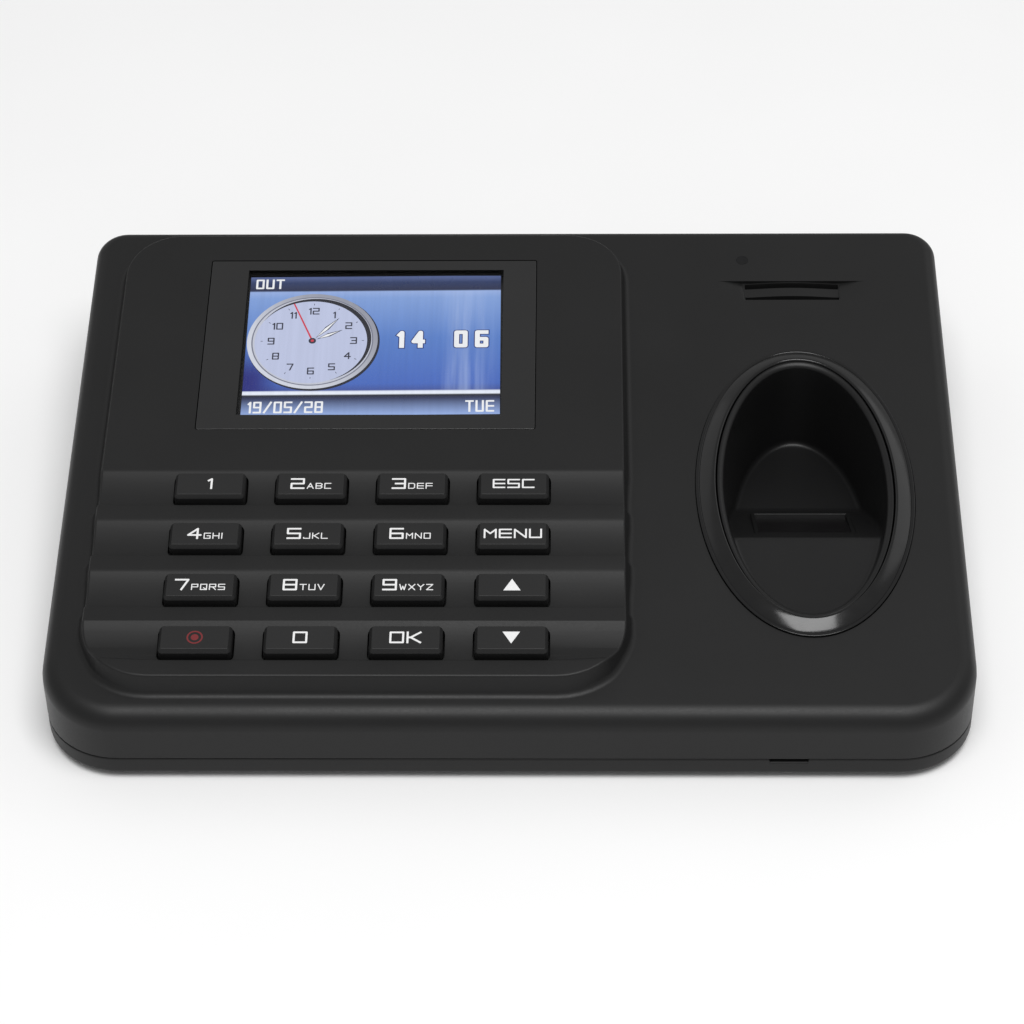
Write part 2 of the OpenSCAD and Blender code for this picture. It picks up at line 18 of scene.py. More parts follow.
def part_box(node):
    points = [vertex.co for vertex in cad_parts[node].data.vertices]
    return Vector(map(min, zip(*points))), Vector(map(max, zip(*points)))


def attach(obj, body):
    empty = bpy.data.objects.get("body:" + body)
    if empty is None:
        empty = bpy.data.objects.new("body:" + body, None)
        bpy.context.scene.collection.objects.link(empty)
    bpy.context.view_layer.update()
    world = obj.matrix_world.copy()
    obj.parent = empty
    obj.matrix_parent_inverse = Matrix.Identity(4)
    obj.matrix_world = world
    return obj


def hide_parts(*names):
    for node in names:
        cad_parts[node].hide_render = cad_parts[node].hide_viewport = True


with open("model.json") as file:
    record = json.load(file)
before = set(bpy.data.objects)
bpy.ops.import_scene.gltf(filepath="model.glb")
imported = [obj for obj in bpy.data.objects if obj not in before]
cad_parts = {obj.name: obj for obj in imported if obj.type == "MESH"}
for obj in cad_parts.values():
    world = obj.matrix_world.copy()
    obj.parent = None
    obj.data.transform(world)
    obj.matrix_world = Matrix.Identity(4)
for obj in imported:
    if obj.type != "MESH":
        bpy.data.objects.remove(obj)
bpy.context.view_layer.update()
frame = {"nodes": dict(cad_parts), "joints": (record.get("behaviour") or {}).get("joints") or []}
MM = 0.001

# %% [markdown]
# ## Where things are
# Two slopes rule this object. The case's top face climbs from front to back, and the panel on it
# climbs a little less. Each gets a matrix that carries flat drawing coordinates onto the slope, so
# a hole can be drawn as if the face were level. The panel's slope is read from the keys, which
# travel square to it, and its place from the display window that lies flush in it.

# %% Slopes and places
window_low, window_high = (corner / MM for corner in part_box("display_lens"))
case_low, case_high = (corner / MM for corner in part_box("top_case"))
press = frame["joints"][0]["axis"]

HALF_W = case_high.x
HALF_D = case_high.y
JOINT_Z = case_low.z
FRONT_H = 15.2
TOP_SLOPE = math.radians(7.3)
PANEL_SLOPE = math.atan2(press[1], -press[2])
WINDOW_BACK_V = 102.5
WINDOW_T = 1.6
PANEL_X = (window_low.x + window_high.x) / 2
PANEL_Y = window_high.y - WINDOW_BACK_V * math.cos(PANEL_SLOPE) - WINDOW_T * math.sin(PANEL_SLOPE)
PANEL_Z = window_high.z - WINDOW_BACK_V * math.sin(PANEL_SLOPE)
WELL_X, WELL_Y = 54.3, -7.6


def top_z(y):
    """Height of the case's top face."""
    return FRONT_H + (y + HALF_D) * math.tan(TOP_SLOPE)


def sloped(x, y, z, slope):
    return Matrix.Translation((x, y, z)) @ Matrix.Rotation(slope, 4, "X")


def on_top(x, y):
    return sloped(x, y, top_z(y), TOP_SLOPE)


PANEL = sloped(0, PANEL_Y, PANEL_Z, PANEL_SLOPE)
WELL = on_top(WELL_X, WELL_Y)
print("panel front edge at y %.2f z %.2f, slope %.2f degrees" % (PANEL_Y, PANEL_Z, math.degrees(PANEL_SLOPE)))

# %% [markdown]
# ## A skin of faces
# Moulded plastic is a closed skin made of a few kinds of surface: bands that run round a loop, and
# flat or gently curved faces with holes in them. A sculptor would carve them, and a boolean would
# cut them, but both leave uneven edges. Here every band and face is laid down on its own, and the
# seams are joined at the end, so that each edge keeps exactly the rounding that it is given.

# %% The skin and its bands
class Skin:
    """Faces in millimetres. Seams are joined when the skin becomes a piece."""

    def __init__(self):
        self.points, self.faces, self.finishes, self.finish = [], [], [], 0

    def add(self, points, faces):
        first = len(self.points)
        self.points += [Vector(p) for p in points]
        self.faces += [[first + i for i in face] for face in faces]
        self.finishes += [self.finish] * len(faces)

    def band(self, low, high, skip=()):
        """Faces between two loops with the same number of points."""
        n = len(low)
        quads = [(i, (i + 1) % n, n + (i + 1) % n, n + i) for i in range(n) if i not in skip]
        self.add(list(low) + list(high), quads)

    def bands(self, loops):
        for low, high in zip(loops, loops[1:]):
            self.band(low, high)

    def cap(self, loop):
        self.add(loop, [range(len(loop))])


# %% [markdown]
# A face with holes is cut into triangles by a Delaunay triangulation that keeps the loops and any
# fold lines as edges. Triangles whose middle is outside the outline or inside a hole are dropped:
# a point is inside when a line from it crosses the loops an odd number of times.

# %% Faces with holes
def crossings(x, y, edges):
    count = 0
    for (ax, ay), (bx, by) in edges:
        if (ay > y) != (by > y) and x < ax + (y - ay) * (bx - ax) / (by - ay):
            count += 1
    return count


def triangles(loops, folds=(), overlap=False):
    """Flat points, triangles, and for each point the number it had in the loops, or None."""
    points, edges, outlines = [], [], []
    for loop in loops:
        first, n = len(points), len(loop)
        points += [Vector((p[0], p[1])) for p in loop]
        ring = [(first + i, first + (i + 1) % n) for i in range(n)]
        edges += ring
        outlines.append([(tuple(points[a]), tuple(points[b])) for a, b in ring])
    for a, b in folds:
        edges.append((a, b))
    flat, _, faces, given, _, _ = delaunay_2d_cdt(points, edges, [], 0, 1e-7)
    kept = []
    for face in faces:
        x = sum(flat[i].x for i in face) / 3
        y = sum(flat[i].y for i in face) / 3
        inside = [crossings(x, y, outline) % 2 for outline in outlines]
        if any(inside) if overlap else sum(inside) % 2:
            kept.append(tuple(face))
    numbers = [g[0] if g else None for g in given]
    return flat, kept, numbers


def open_edges(faces):
    """Edges that only one face uses, in that face's direction."""
    directed = {(f[i], f[(i + 1) % 3]) for f in faces for i in range(3)}
    return [(a, b) for a, b in directed if (b, a) not in directed]


def slab(skin, loops, top, bottom, folds=(), under=None, bare=0):
    """A face with a twin beneath and walls in its holes. The outline and the first holes up to
    number bare get no walls. under moves the twin's outline to other points."""
    flat, faces, numbers = triangles(loops, folds)
    upper = [top(p.x, p.y) for p in flat]
    lower = [bottom(p.x, p.y) for p in flat]
    if under:
        for i, number in enumerate(numbers):
            if number is not None and number < len(under):
                lower[i] = under[number]
    skin.add(upper, faces)
    skin.add(lower, [face[::-1] for face in faces])
    limit = sum(len(loop) for loop in loops[: bare + 1])
    walls = [e for e in open_edges(faces) if None in (numbers[e[0]], numbers[e[1]]) or numbers[e[0]] >= limit]
    n = len(upper)
    skin.add(upper + lower, [(b, a, n + a, n + b) for a, b in walls])


# %% [markdown]
# Outlines are drawn as loops of points that run against the clock, each with the direction that
# points outwards, so that a loop can be grown or shrunk for a rounding.

# %% Outlines
def rounded(w, d, front_r, back_r, x=0, y=0, rows=(), columns=(), steps=10):
    """Rounded rectangle as (x, y, outward x, outward y), with points on the given rows, and on
    the given columns of its front side."""
    corners = [
        (x - w / 2 + front_r, y - d / 2 + front_r, front_r, 180),
        (x + w / 2 - front_r, y - d / 2 + front_r, front_r, 270),
        (x + w / 2 - back_r, y + d / 2 - back_r, back_r, 0),
        (x - w / 2 + back_r, y + d / 2 - back_r, back_r, 90),
    ]
    loop = []
    for number, (cx, cy, r, start) in enumerate(corners):
        angles = {start + 90 * i / steps for i in range(steps + 1)}
        for row in rows:
            if abs(row - cy) < r:
                lift = math.degrees(math.asin((row - cy) / r))
                angles |= {a % 360 for a in (lift, 180 - lift) if start < a % 360 < start + 90}
        for angle in sorted(angles):
            c, s = math.cos(math.radians(angle)), math.sin(math.radians(angle))
            loop.append((cx + r * c, cy + r * s, c, s))
        if number == 0:
            loop += [(column, cy - r, 0, -1) for column in sorted(columns)]
        low, high = corners[1][1], corners[2][1]
        if number == 1:
            loop += [(x + w / 2, row, 1, 0) for row in sorted(rows) if low < row < high]
        if number == 3:
            loop += [(x - w / 2, row, -1, 0) for row in sorted(rows, reverse=True) if low < row < high]
    return loop


def grown(loop, by):
    return [(p[0] + p[2] * by, p[1] + p[3] * by) for p in loop]


def oval(a, b, steps=96, x=0, y=0):
    turns = [2 * math.pi * i / steps for i in range(steps)]
    return [(x + a * math.cos(t), y + b * math.sin(t)) for t in turns]


def placed(loop, matrix, w=0):
    return [matrix @ Vector((p[0], p[1], w)) for p in loop]


def ease(t):
    """Smooth step from 0 to 1."""
    t = min(1, max(0, t))
    return t * t * (3 - 2 * t)


# %% [markdown]
# ## From skin to piece
# Joining seams means merging points that lie on each other. A piece must end up closed, with every
# edge shared by two faces, so the count of open edges is printed. Edges sharper than the given
# angle stay crisp, and the rest are shaded as one smooth surface. Weighted normals keep the broad
# flat faces looking flat beside their small roundings.

# %% Making pieces
def mesh_piece(skin, name, finishes, crisp=38):
    bm = bmesh.new()
    verts = [bm.verts.new(p * MM) for p in skin.points]
    for corners, finish in zip(skin.faces, skin.finishes):
        bm.faces.new([verts[i] for i in corners]).material_index = finish
    bmesh.ops.remove_doubles(bm, verts=bm.verts, dist=0.001 * MM)
    bmesh.ops.dissolve_degenerate(bm, edges=bm.edges, dist=1e-4 * MM)
    bmesh.ops.recalc_face_normals(bm, faces=bm.faces)
    for face in bm.faces:
        face.smooth = True
    for edge in bm.edges:
        edge.smooth = edge.is_manifold and edge.calc_face_angle(0) < math.radians(crisp)
    open_count = sum(not edge.is_manifold for edge in bm.edges)
    mesh = bpy.data.meshes.new(name)
    bm.to_mesh(mesh)
    bm.free()
    piece = bpy.data.objects.new(name, mesh)
    bpy.context.scene.collection.objects.link(piece)
    for finish in finishes:
        mesh.materials.append(finish)
    piece.modifiers.new("flat faces stay flat", "WEIGHTED_NORMAL").keep_sharp = True
    settle(piece)
    print(name, len(piece.data.polygons), "faces,", open_count, "open edges")
    return piece


def settle(piece, place=None):
    """Turns a piece with modifiers into a plain mesh, then carries it to its place."""
    bpy.context.view_layer.update()
    seen = piece.evaluated_get(bpy.context.evaluated_depsgraph_get())
    mesh = bpy.data.meshes.new_from_object(seen)
    old = piece.data
    piece.modifiers.clear()
    piece.data = mesh
    bpy.data.meshes.remove(old)
    mesh.name = piece.name
    if place is not None:
        mesh.transform(place)
    return piece


def belongs(piece, slot, *stands_for, body="terminal"):
    """Hangs a piece on the empty of the body that carries it, and hides the parts that it stands for. slot,
    its finish, is not used.
    """
    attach(piece, body)
    if stands_for:
        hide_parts(*stands_for)
    return piece


# %% [markdown]
# ## Writing finishes as sums
# A finish is a network of small nodes. Drawn by hand it soon fills a screen, so here a socket is
# wrapped in a class that knows plus, minus, times and the comparisons. An expression such as
# 1 - mask then adds its own nodes. Anything that isn't a sum comes from the one node method.

# %% Sums on sockets
class Wire:
    """A socket that can be used in Python sums."""

    def __init__(self, finish, socket):
        self.finish, self.socket = finish, socket

    def sum(self, operation, a, b=0.0):
        return self.finish.node("ShaderNodeMath", {"operation": operation}, {0: a, 1: b})

    def __add__(self, other):
        return self.sum("ADD", self, other)

    def __sub__(self, other):
        return self.sum("SUBTRACT", self, other)

    def __rsub__(self, other):
        return self.sum("SUBTRACT", other, self)

    def __mul__(self, other):
        return self.sum("MULTIPLY", self, other)

    def __gt__(self, other):
        return self.sum("GREATER_THAN", self, other)

    def __lt__(self, other):
        return self.sum("LESS_THAN", self, other)

    def __abs__(self):
        return self.sum("ABSOLUTE", self)

    __radd__, __rmul__ = __add__, __mul__


class Finish:
    """A material on the piece's own coordinates, in metres."""

    def __init__(self, name):
        self.material = bpy.data.materials.new(name)
        self.material.use_nodes = True
        self.tree = self.material.node_tree
        self.shader = self.tree.nodes["Principled BSDF"]
        self.where = self.node("ShaderNodeTexCoord", out=3)

    def node(self, kind, settings=None, values=None, out=0):
        node = self.tree.nodes.new(kind)
        for name, value in (settings or {}).items():
            if name == "stops":
                for extra in value[2:]:
                    node.color_ramp.elements.new(extra[0])
                for element, (at, colour) in zip(node.color_ramp.elements, value):
                    element.position, element.color = at, (*colour, 1)
            else:
                setattr(node, name, value)
        for name, value in (values or {}).items():
            self.give(node.inputs[name], value)
        return Wire(self, node.outputs[out])

    def give(self, socket, value):
        if isinstance(value, Wire):
            self.tree.links.new(value.socket, socket)
        else:
            socket.default_value = value

    def mix(self, factor, a, b):
        """Colour a where the factor is 0 and b where it is 1."""
        full = [(*c, 1) if isinstance(c, tuple) else c for c in (a, b)]
        values = {0: factor, 6: full[0], 7: full[1]}
        return self.node("ShaderNodeMix", {"data_type": "RGBA"}, values, out=2)

    def noise(self, size, detail=2.0, stretch=None):
        """Noise from 0 to 1 whose grains are about size millimetres across."""
        where = self.where
        if stretch:
            where = self.node("ShaderNodeMapping", None, {"Vector": where, "Scale": stretch})
        values = {"Vector": where, "Scale": 1 / (size * MM), "Detail": detail}
        return self.node("ShaderNodeTexNoise", None, values)

    def bump(self, height, depth, strength=1.0):
        """Relief of a depth in millimetres."""
        values = {"Height": height, "Distance": depth * MM, "Strength": strength}
        self.set({"Normal": self.node("ShaderNodeBump", None, values)})

    def set(self, values):
        for name, value in values.items():
            full = (*value, 1) if isinstance(value, tuple) else value
            self.give(self.shader.inputs[name], full)
        return self.material


def screen_colour(red, green, blue):
    """Linear colour of a screen value from 0 to 255."""
    return tuple(((c / 255 + 0.055) / 1.055) ** 2.4 for c in (red, green, blue))


# %% [markdown]
# ## Moulded plastic
# Black plastic is never one flat black. The steel mould was spark eroded, so the skin has a fine
# grain, and the melt leaves broad clouds that shine a little differently. Two sizes of noise make
# these: grain in the relief and roughness, and clouds in the colour and roughness.

# %% Plastics
def plastic(name, colour, roughness, grain=0.35, depth=0.004, cloud=0.10, shine=0.28):
    finish = Finish(name)
    clouds = finish.noise(26, 3)
    fine = finish.noise(grain, 3)
    light = tuple(c * (1 + cloud) for c in colour)
    dark = tuple(c * (1 - cloud) for c in colour)
    base = finish.mix(clouds, dark, light)
    finish.bump(fine, depth)
    values = {
        "Base Color": base,
        "Roughness": (clouds - 0.5) * 0.14 + (fine - 0.5) * 0.18 + roughness,
        "Specular IOR Level": shine,
    }
    return finish.set(values)


case_black = plastic("black textured case", (0.0098, 0.0098, 0.0099), 0.44)
base_black = plastic("black textured base", (0.0092, 0.0092, 0.0093), 0.47)
key_black = plastic("satin key plastic", (0.0125, 0.0125, 0.0127), 0.42, grain=0.25, depth=0.002, shine=0.34)
ring_black = plastic(
    "piano black ring", (0.0040, 0.0040, 0.0042), 0.16, grain=3.0, depth=0.001, cloud=0.05, shine=0.5
)
well_black = plastic("satin well plastic", (0.0080, 0.0080, 0.0082), 0.38, grain=0.25, depth=0.002)
socket_black = plastic("black socket plastic", (0.012, 0.012, 0.013), 0.45, grain=0.2)
chip_black = plastic("chip resin", (0.012, 0.012, 0.013), 0.62, grain=0.15, depth=0.006)
tape_black = plastic("foam tape", (0.008, 0.008, 0.008), 0.80, grain=0.4, depth=0.02)
foot_black = plastic("foot rubber", (0.013, 0.013, 0.013), 0.74, grain=0.5, depth=0.01, cloud=0.2)
cable_grey = plastic("cable sheath", (0.30, 0.29, 0.26), 0.50, grain=0.6, depth=0.006)
lead_red = plastic("speaker lead sheath", (0.18, 0.015, 0.012), 0.45, grain=0.6, depth=0.006)
cone_black = plastic("speaker film", (0.016, 0.016, 0.017), 0.42, grain=0.8, depth=0.01)
light_smoke = plastic("smoked light guide", (0.0045, 0.0045, 0.0050), 0.42, grain=1.0, depth=0.001)
print("made", len(bpy.data.materials), "materials so far")

# %% [markdown]
# ## Inks, metal, board and glass
# Printed legends are a thin matt ink with slightly uneven cover. Plated parts are metal with fine
# brushing along one way. A circuit board is green lacquer over copper tracks, which show as a
# lighter net, and the silicone mat is milky and soft.

# %% Inks
def ink(name, colour, roughness=0.5):
    finish = Finish(name)
    cover = finish.noise(0.35, 2)
    worn = tuple(c * 0.82 for c in colour)
    finish.bump(cover, 0.003)
    return finish.set({"Base Color": finish.mix(cover, worn, colour), "Roughness": cover * 0.2 + roughness})


white_ink = ink("white legend ink", (0.86, 0.86, 0.86))
red_ink = ink("red legend ink", (0.17, 0.010, 0.013))


# %% Metal, board, film, silicone and glass
def metal(name, colour, roughness, brushed=(1, 12, 1)):
    finish = Finish(name)
    streaks = finish.noise(1.2, 4, brushed)
    finish.bump(streaks, 0.004)
    dull = tuple(c * 0.8 for c in colour)
    values = {"Base Color": finish.mix(streaks, dull, colour), "Metallic": 1.0}
    values["Roughness"] = streaks * 0.2 + (roughness - 0.1)
    return finish.set(values)


def board(name):
    finish = Finish(name)
    values = {"Vector": finish.where, "Scale": 1 / (3.4 * MM)}
    tracks = finish.node("ShaderNodeTexVoronoi", {"feature": "DISTANCE_TO_EDGE"}, values) < 0.07
    lacquer = finish.mix(finish.noise(9, 2), (0.012, 0.085, 0.032), (0.016, 0.11, 0.04))
    finish.bump(tracks, 0.02)
    values = {"Base Color": finish.mix(tracks, lacquer, (0.03, 0.19, 0.07)), "Coat Weight": 0.5}
    values["Roughness"] = finish.noise(2, 2) * 0.15 + 0.25
    return finish.set(values)


def film(name, colour, roughness, translucent=0.0):
    finish = Finish(name)
    cloud = finish.noise(4, 2)
    finish.bump(finish.noise(0.8, 2), 0.004)
    dark = tuple(c * 0.75 for c in colour)
    values = {"Base Color": finish.mix(cloud, dark, colour), "Roughness": cloud * 0.15 + roughness}
    values["Subsurface Weight"] = translucent
    values["Subsurface Scale"] = 1.5 * MM
    return finish.set(values)


steel = metal("plated steel", (0.60, 0.61, 0.63), 0.30)
screw_steel = metal("zinc plated screw", (0.52, 0.53, 0.54), 0.34, (3, 3, 12))
flex_amber = film("amber flex film", (0.42, 0.19, 0.035), 0.22)
silicone = film("milky silicone", (0.52, 0.53, 0.50), 0.42, 0.4)
prism_glass = film("prism glass", (0.16, 0.20, 0.22), 0.05)
reader_glass = film("coated reader glass", (0.0050, 0.0045, 0.0050), 0.26)
green_board = board("green circuit board")
print("made", len(bpy.data.materials), "materials so far")

# %% [markdown]
# ## The top case
# The top case is one moulding: a tapering wall with a rounded shoulder, a sloping face, and a
# panel that rises from it with drafted sides. Draft is the lean that lets a moulding leave its
# steel. The shoulder is a set of loops, each a little further in and up, as along a quarter circle.

# %% Case walls and shoulder
WALL, SKIN_T = 2.2, 2.4
FRONT_R, BACK_R = 14, 6
SHOULDER_FRONT, SHOULDER_BACK = 3.5, 2.6
ARC_STEPS = 8

case_loop = rounded(2 * HALF_W, 2 * HALF_D, FRONT_R, BACK_R, steps=14)
BACK_SIDE = max(range(len(case_loop)), key=lambda i: (case_loop[i][1], case_loop[i][0]))


def case_ring(inset, height):
    """Loop round the case. inset is a number or a function of y, and height one of x and y."""
    loop = []
    for x, y, nx, ny in case_loop:
        by = inset(y) if callable(inset) else inset
        px, py = x - nx * by, y - ny * by
        loop.append(Vector((px, py, height(px, py) if callable(height) else height)))
    return loop


def shoulder(y):
    """Radius of the shoulder, which shrinks a little towards the back."""
    return SHOULDER_FRONT + (SHOULDER_BACK - SHOULDER_FRONT) * (y + HALF_D) / (2 * HALF_D)


def shoulder_ring(turn):
    c, s = math.cos(turn), math.sin(turn)
    return case_ring(lambda y: shoulder(y) * (1 - c), lambda x, y: top_z(y) - shoulder(y) * (1 - s))


shoulder_rings = [shoulder_ring(math.pi / 2 * i / ARC_STEPS) for i in range(ARC_STEPS + 1)]
joint_rings = [case_ring(0.28, JOINT_Z), case_ring(0.06, JOINT_Z + 0.16), case_ring(0, JOINT_Z + 0.34)]
top_shell = Skin()
top_shell.bands(joint_rings)
top_shell.band(joint_rings[-1], shoulder_rings[0], skip=[BACK_SIDE])
top_shell.bands(shoulder_rings)
print("case walls:", len(case_loop), "points round, back side at", BACK_SIDE)

# %% [markdown]
# ## The raised panel and its key grooves
# Four grooves run across the panel, one under each row of keys. Seen from the side a groove drops
# at the front and climbs back in a curve that steepens up to a crease. That side view is a function
# of the distance up the panel, so the panel's face is a flat drawing lifted by it. Fold lines keep
# the triangles from cutting across the curve. Near the sides the first drop is drawn out, so that
# it dies away into the rounded corners.

# %% Groove and panel outline
PANEL_W, PANEL_L = 96.6, 109.6
PANEL_T = 3.2
PANEL_WALL = 2.0
EDGE_R, FOOT_R = 0.45, 1.3
DRAFT = math.radians(17)
ROW_PITCH, COLUMN_PITCH = 11.97, 18.6
FIRST_KEY_V, LAST_KEY_X = 4.45, 0.6
GROOVE_DEPTH = 1.2
RISER = (3.35, 4.45)
CLIMB_END = 12.3
QUIET = 34.6


def groove(x, v):
    """Depth of the panel's face below its plane."""
    if v < RISER[0] or v > RISER[0] + 4 * ROW_PITCH:
        return 0.0
    local = (v - RISER[0]) % ROW_PITCH + RISER[0]
    end = RISER[1]
    if v < ROW_PITCH:
        end += 0.3 * min(10.0, max(0.0, abs(x - PANEL_X) - QUIET))
    down = ease((local - RISER[0]) / (end - RISER[0]))
    climb = max(0.0, (local - RISER[1]) / (CLIMB_END - RISER[1]))
    return GROOVE_DEPTH * down * max(0.0, 1 - climb**2)


fold_rows = []
for row in range(4):
    base = row * ROW_PITCH
    fold_rows += [base + RISER[0] + (RISER[1] - RISER[0]) * i / 6 for i in range(7)]
    fold_rows += [base + RISER[1] + (CLIMB_END - RISER[1]) * i / 12 for i in range(1, 13)]
edge_inset = EDGE_R * (1 - math.sin(DRAFT)) / math.cos(DRAFT)
panel_loop = rounded(
    PANEL_W - 2 * edge_inset, PANEL_L - 2 * edge_inset, 12, 10, PANEL_X, PANEL_L / 2,
    rows=fold_rows, columns=(PANEL_X - QUIET, PANEL_X + QUIET),
)
print("panel outline:", len(panel_loop), "points,", len(fold_rows), "fold lines")


# %% Panel walls
def wall_profile(rise):
    """(outwards, up) steps of the drafted wall, from its rounded top edge to the fillet at its foot."""
    c, s = math.cos(DRAFT), math.sin(DRAFT)
    edge = [(-edge_inset, rise - EDGE_R), EDGE_R, 1]
    foot = [((FOOT_R + (rise - FOOT_R) * s) / c, FOOT_R), FOOT_R, -1]
    steps = []
    for (centre, r, side), turns in ((edge, range(4)), (foot, range(6, -1, -1))):
        last = 3 if side > 0 else 6
        for i in turns:
            turn = (math.pi / 2 - DRAFT) * i / last
            steps.append((centre[0] + side * r * math.sin(turn), centre[1] + side * r * math.cos(turn)))
    return steps


def panel_rings():
    columns = []
    for x, v, nx, nv in panel_loop:
        top = PANEL @ Vector((x, v, -groove(x, v)))
        rise = top.z - top_z(top.y)
        column = []
        for out, up in wall_profile(rise):
            by = out + edge_inset
            y = top.y + nv * by * math.cos(PANEL_SLOPE)
            here = top_z(y)
            column.append(Vector((x + nx * by, y, here + up)))
        column[0] = top
        columns.append(column)
    return [list(ring) for ring in zip(*columns)]


panel_wall_rings = panel_rings()
top_shell.bands(panel_wall_rings)
panel_back = PANEL @ Vector((0, PANEL_L, 0))
rises = (PANEL_Z - top_z(PANEL_Y), panel_back.z - top_z(panel_back.y))
print("panel rises %.2f at the front and %.2f at the back" % rises)

# %% [markdown]
# The panel's face has a hole for each key and one for the display window. Sixteen holes, four by
# four, come from one small outline that a double loop moves. The window's recess has a ledge for
# the tape that holds the window, and an opening in the ledge for the display.

# %% Panel face with its holes
KEY_W, KEY_L = 13.0, 6.1
KEY_GAP = 0.35
WINDOW_W, WINDOW_L = 63.5, 44.4
WINDOW_V = WINDOW_BACK_V - WINDOW_L / 2
LEDGE = 1.8
SIGHT_W, SIGHT_L, SIGHT_V = 57.0, 41.6, 81.5


def key_place(column, row):
    """Middle of a key. Columns count from the left and rows from the front."""
    return LAST_KEY_X + (column - 3) * COLUMN_PITCH, FIRST_KEY_V + KEY_L / 2 + row * ROW_PITCH


def key_outline(x, v, grow=0.0, r=0.9, steps=4):
    return rounded(KEY_W + 2 * grow, KEY_L + 2 * grow, r + grow, r + grow, x, v, steps=steps)


def folds_across(loop, rows):
    """Fold lines between the two points that the loop has on each row."""
    folds = []
    for row in rows:
        ends = [i for i, p in enumerate(loop) if abs(p[1] - row) < 1e-5]
        if len(ends) == 2:
            folds.append(tuple(ends))
    return folds


key_holes = [key_outline(*key_place(c, r), grow=KEY_GAP) for r in range(4) for c in range(4)]
window_hole = rounded(WINDOW_W + 0.3, WINDOW_L + 0.3, 0.5, 0.5, PANEL_X, WINDOW_V, steps=4)
sight_hole = rounded(SIGHT_W, SIGHT_L, 0.5, 0.5, PANEL_X, SIGHT_V, steps=4)
panel_under = [PANEL @ Vector((*p, -PANEL_T)) for p in grown(panel_loop, edge_inset - PANEL_WALL)]
first_hole = len(panel_loop) + len(window_hole)
last_hole = first_hole + 3 * len(key_holes[0])
quiet_ends = [i for i, p in enumerate(panel_loop) if abs(abs(p[0] - PANEL_X) - QUIET) < 1e-6 and p[1] < 1]
side_folds = list(zip(quiet_ends, (first_hole, last_hole + 9)))
slab(
    top_shell, [panel_loop, window_hole, *key_holes],
    lambda x, v: PANEL @ Vector((x, v, -groove(x, v))), lambda x, v: PANEL @ Vector((x, v, -PANEL_T)),
    folds_across(panel_loop, fold_rows) + side_folds, under=panel_under, bare=1,
)
ledge_drop = [(window_hole, 0), (window_hole, -LEDGE), (sight_hole, -LEDGE), (sight_hole, -PANEL_T)]
top_shell.bands([placed(loop, PANEL, w) for loop, w in ledge_drop + [(window_hole, -PANEL_T)]])
print("panel face:", len(key_holes), "key holes")

# %% [markdown]
# ## The top face: well mouth, sound slots and status light
# The sound slots sit in a shallow scoop. Its back edge is cut straight down, its front runs out
# into the face, and the bar between the slots bows up like a bridge. The bow is a parabola across
# the scoop, so the scoop is again a flat drawing lifted by a function.

# %% The sound scoop
SCOOP = on_top(54.2, 42.7)
SCOOP_W, SCOOP_L = 28.8, 5.3
SLOT_W, SLOT_L = 18.2, 1.3
SCOOP_DEPTH, BOW = 0.78, 0.48
scoop_columns = [SCOOP_W / 2 * i / 12 for i in range(-11, 12)]
slot_columns = [u for u in scoop_columns if abs(u) < SLOT_W / 2 - 0.1]


def scoop_depth(u, t):
    side = abs(u) / (SLOT_W / 2)
    deep = SCOOP_DEPTH * (1 - ease((abs(u) - SLOT_W / 2 + 0.8) / (SCOOP_W / 2 - SLOT_W / 2 + 0.8)))
    if side < 1:
        deep -= BOW * (1 - side * side) ** 1.5
    return deep * ease((t + SCOOP_L / 2) / 1.6)


def box_loop(w, l, columns, t=0.0):
    """Rectangle whose long sides have a point on each column."""
    front = [-w / 2, *columns, w / 2]
    return [(u, t - l / 2) for u in front] + [(u, t + l / 2) for u in reversed(front)]


scoop_edge = box_loop(SCOOP_W, SCOOP_L, scoop_columns)
slot_edges = [box_loop(SLOT_W, SLOT_L, slot_columns, s * (SCOOP_L - SLOT_L - 0.5) / 2) for s in (-1, 1)]
n = len(scoop_edge)
scoop_folds = [(i, n - 1 - i) for i in range(1, n // 2 - 1)]
flat, scoop_faces, _ = triangles([scoop_edge, *slot_edges], scoop_folds)
scoop_points = [SCOOP @ Vector((p.x, p.y, -scoop_depth(p.x, p.y))) for p in flat]
top_shell.add(scoop_points, scoop_faces)
scoop_rim = placed(scoop_edge, SCOOP)
top_shell.band(scoop_rim, [SCOOP @ Vector((u, t, -scoop_depth(u, t))) for u, t in scoop_edge])
print("scoop:", len(scoop_faces), "faces,", len(slot_edges), "slots")

# %% [markdown]
# The face itself is flat, so it is one triangulated sheet between the shoulder, the panel's foot
# and the holes. The ceiling inside is a second sheet, and short bands join the two.

# %% Top face and ceiling
RING_A, RING_B = 20.15, 34.7
MOUTH_A, MOUTH_B = 14.9, 29.75
SEAT_DEPTH = 0.8
LIGHT = on_top(44.8, 51)
LIGHT_R = 1.15


def ceiling(point):
    return Vector((point[0], point[1], top_z(point[1]) - SKIN_T))


def flat_face(skin, loops, height):
    flat, faces, _ = triangles(loops)
    skin.add([(p.x, p.y, height(p.y)) for p in flat], faces)


seat_rim = placed(oval(RING_A + 0.12, RING_B + 0.12), WELL)
seat_floor = placed(oval(RING_A + 0.12, RING_B + 0.12), WELL, -SEAT_DEPTH)
mouth_edge = placed(oval(MOUTH_A + 1.6, MOUTH_B + 1.6), WELL, -SEAT_DEPTH)
light_rim = placed(oval(LIGHT_R, LIGHT_R, 24), LIGHT)
flat_face(top_shell, [shoulder_rings[-1], panel_wall_rings[-1], seat_rim, scoop_rim, light_rim], top_z)

